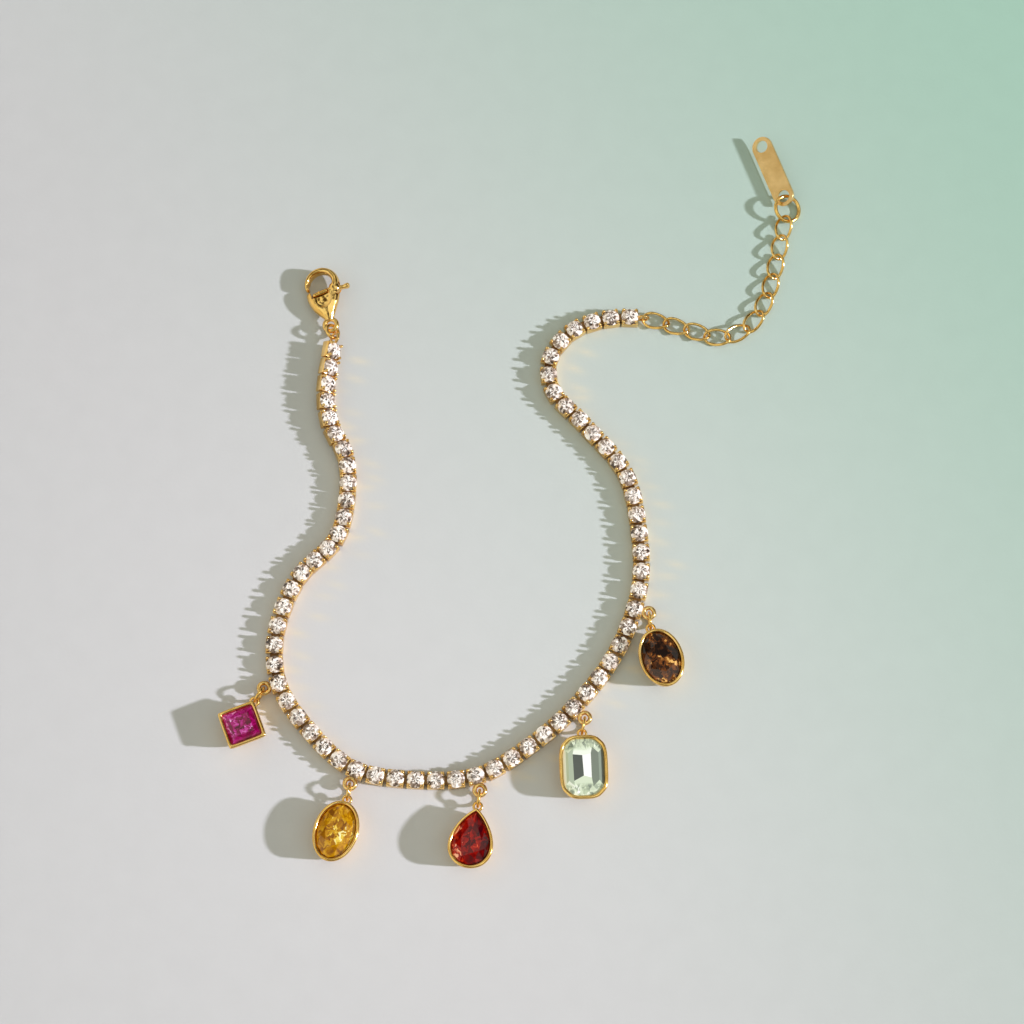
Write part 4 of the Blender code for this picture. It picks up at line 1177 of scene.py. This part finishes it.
clasp = {"ring": 2.55, "cadWire": 0.42, "ringWire": 0.5, "ringRoll": 40.0, "ringHeading": 106.0,
         "heading": 100.0, "roll": -10.0, "height": 1.45, "eyelet": 2.5, "eyeletWire": 0.7,
         "middle": (-0.25, 6.4), "outer": (2.6, 2.55), "arc": (-40.0, 199.0), "wall": (1.2, 0.66), "deep": (2.2, 1.5),
         "pivot": (1.532, 5.4325), "cheek": 0.85, "gap": 0.1, "hub": 0.72, "hubDeep": 1.0,
         "gateAngle": 190.6, "gateLength": 3.49, "gateWidth": 0.78, "gateDeep": 1.7,
         "tabAngle": -2.0, "tabLength": 2.2, "tabWidth": 0.75, "swing": 25.0,
         "recess": (-0.3, 4.0), "recessRadii": (1.3, 1.43, 0.55), "boss": 0.986, "room": (2.5, 4.4), "overlap": 0.2,
         "voxel": 0.06, "bodyPolish": 11, "leverPolish": 8}
# The gate's sections and the tab's: how far along, as a share, how far aside for the tab, and the share of the full size
gateSections = [(0.0, 0.8), (0.05, 1.0), (0.5, 1.0), (0.85, 0.96), (0.95, 0.85), (1.0, 0.55)]
tabSections = [(0.0, 0.0, 0.9), (0.35, -0.02, 0.85), (0.6, 0.0, 0.82), (0.78, 0.06, 1.05), (0.92, 0.1, 1.0),
               (1.0, 0.11, 0.5)]
# The base's sections from its neck: how far along, its left and right sides and half its thickness
baseSections = [(0.75, -0.55, 0.5, 0.42), (1.2, -0.9, 0.68, 0.62), (1.75, -1.42, 0.95, 0.8), (2.63, -2.1, 1.38, 0.98),
                (3.44, -2.5, 1.77, 1.08), (4.2, -2.74, 2.02, 1.1), (4.9, -2.84, 2.16, 1.04), (5.25, -2.8, 2.2, 0.95),
                (5.4, -2.68, 2.1, 0.8)]


def onConnector(share):
    # A place across the connector, from the strand's end loop to the clasp's eyelet
    reach = (clasp["ring"] - clasp["cadWire"]) * share * mm
    return endLoopMatrix(1, -1).translation + polar(radians(clasp["ringHeading"]), reach, 0)


def claspMatrix():
    eye = onConnector(1.0)
    placed = headingMatrix((eye.x, eye.y, clasp["height"] * mm), radians(clasp["heading"]), radians(clasp["roll"]))
    return placed @ Matrix.Rotation(-pi / 2, 4, "Z")


def ovalSection(middle, side, half, deep, power=2.5, count=20):
    # A softened rectangle across a bar: side is the way to its edge, and the thickness lies along Z.
    ring = []
    for i in range(count):
        turn = 2 * pi * i / count
        x = copysign(abs(cos(turn)) ** (2 / power), cos(turn)) * half
        z = copysign(abs(sin(turn)) ** (2 / power), sin(turn)) * deep
        ring.append(Vector((middle[0] + side[0] * x, middle[1] + side[1] * x, z)) * mm)
    return ring


def bar(stations):
    # A bar of softened sections, as bmesh faces
    return loftRings([ovalSection(*station) for station in stations])


def clawBar():
    stations = []
    start, end = (radians(angle) for angle in clasp["arc"])
    for step in range(37):
        share = step / 36
        turn = start + (end - start) * share
        worn = 1.0 if share < 0.96 else sqrt(max(1 - ((share - 0.96) / 0.04) ** 2, 0.12))
        half = (clasp["wall"][0] + (clasp["wall"][1] - clasp["wall"][0]) * share) / 2
        deep = (clasp["deep"][0] + (clasp["deep"][1] - clasp["deep"][0]) * share) / 2 * worn
        out = polar(turn)
        middle = tuple(clasp["middle"][k] + (clasp["outer"][k] - half) * out[k] for k in (0, 1))
        stations.append((middle, out, half * worn, deep))
    return bar(stations)


def castPiece(name, solids, cutters, polish):
    # The solids melt into one skin, the cutters are taken off, and the edges are worn round as on polished castings.
    whole = bmesh.new()
    for solid in solids:
        bmesh.ops.recalc_face_normals(solid, faces=solid.faces)
        whole.from_mesh(meshOf("solid", solid))
    mesh = meshOf(name, whole)
    mesh.materials.append(polishedGold)
    obj = newObject(name, mesh)

    def melt():
        remesh = obj.modifiers.new("melt", "REMESH")
        remesh.mode = "VOXEL"
        remesh.voxel_size = clasp["voxel"] * mm
        remesh.use_smooth_shade = True

    melt()
    tools = [tidyMesh("cutter", cutter, polishedGold) for cutter in cutters]
    for tool in tools:
        cut = obj.modifiers.new("cut", "BOOLEAN")
        cut.operation = "DIFFERENCE"
        cut.object = tool
    if tools:
        melt()
    smooth = obj.modifiers.new("polish", "SMOOTH")
    smooth.factor = 0.5
    smooth.iterations = polish
    piece = plainMesh(obj, name)
    for tool in tools:
        bpy.data.objects.remove(tool)
    piece.data.transform(claspMatrix())
    print(name, len(piece.data.polygons), "faces")
    return piece


def buildClasp():
    pivot = Vector(clasp["pivot"])
    gateTurn = radians(clasp["gateAngle"])
    gateWay, gateUp = polar(gateTurn), polar(gateTurn - pi / 2)
    base = bar([(((left + right) / 2, along), (1, 0), (right - left) / 2, deep, 2.2)
                for along, left, right, deep in baseSections])
    gap = clasp["gap"]
    slotRadius, slotDeep = clasp["cheek"] + 2 * gap, clasp["hubDeep"] + 2 * gap
    near, far = clasp["cheek"] + gap / 2, clasp["gateLength"] + gap
    wide, deep = clasp["room"]
    gateRoom = block(pivot + gateWay * (near + far) / 2 + gateUp * ((wide - clasp["gateWidth"]) / 2 - gap),
                     (far - near, wide, deep), gateTurn)
    tabTurn, halfSwing = radians(clasp["tabAngle"]), radians(clasp["swing"] / 2)
    tabRoom = block(pivot + polar(tabTurn - halfSwing, slotRadius),
                    (2 * slotRadius, clasp["tabWidth"] + 2 * gap + 2 * slotRadius * sin(halfSwing), slotDeep),
                    tabTurn - halfSwing)
    recess = dome((*clasp["recess"], clasp["deep"][0] / 2), clasp["recessRadii"])
    boss = dome(pivot, (clasp["boss"], clasp["boss"], clasp["deep"][0] / 2))
    body = castPiece("claspCast", [clawBar(), base, boss],
                     [gateRoom, recess, disc(pivot, slotRadius, slotDeep), tabRoom], clasp["bodyPolish"])
    eyelet = ringsAt("eyelet", [claspMatrix()], clasp["eyelet"], clasp["eyeletWire"], polishedGold)
    dressed(joinObjects("claspBody", [body, eyelet]), "polished_gold", "clasp_body")

    gate = bar([(pivot + gateWay * (slotRadius + (clasp["gateLength"] - slotRadius) * share), gateUp,
                 clasp["gateWidth"] / 2 * size, clasp["gateDeep"] / 2 * size) for share, size in gateSections])
    web = block(pivot + gateWay * slotRadius / 2,
                (slotRadius + clasp["overlap"], clasp["gateWidth"], clasp["hubDeep"]), gateTurn)
    tabWay, tabUp = polar(tabTurn), polar(tabTurn + pi / 2)
    tab = bar([(pivot + tabWay * clasp["tabLength"] * share + tabUp * rise, tabUp, clasp["tabWidth"] / 2 * size,
                clasp["hubDeep"] / 2 * min(size, 1.0)) for share, rise, size in tabSections])
    lever = castPiece("claspLever", [gate, web, disc(pivot, clasp["hub"], clasp["hubDeep"]), tab], [],
                      clasp["leverPolish"])
    dressed(lever, "polished_gold", "clasp_lever", body="clasp_lever")

    placed = headingMatrix(onConnector(0.5), radians(clasp["ringHeading"]), radians(clasp["ringRoll"]))
    ring = ringsAt("claspRing", [placed], clasp["ring"], clasp["ringWire"], polishedGold)
    dressed(ring, "polished_gold", "clasp_ring")


buildClasp()
print("Clasp ready")
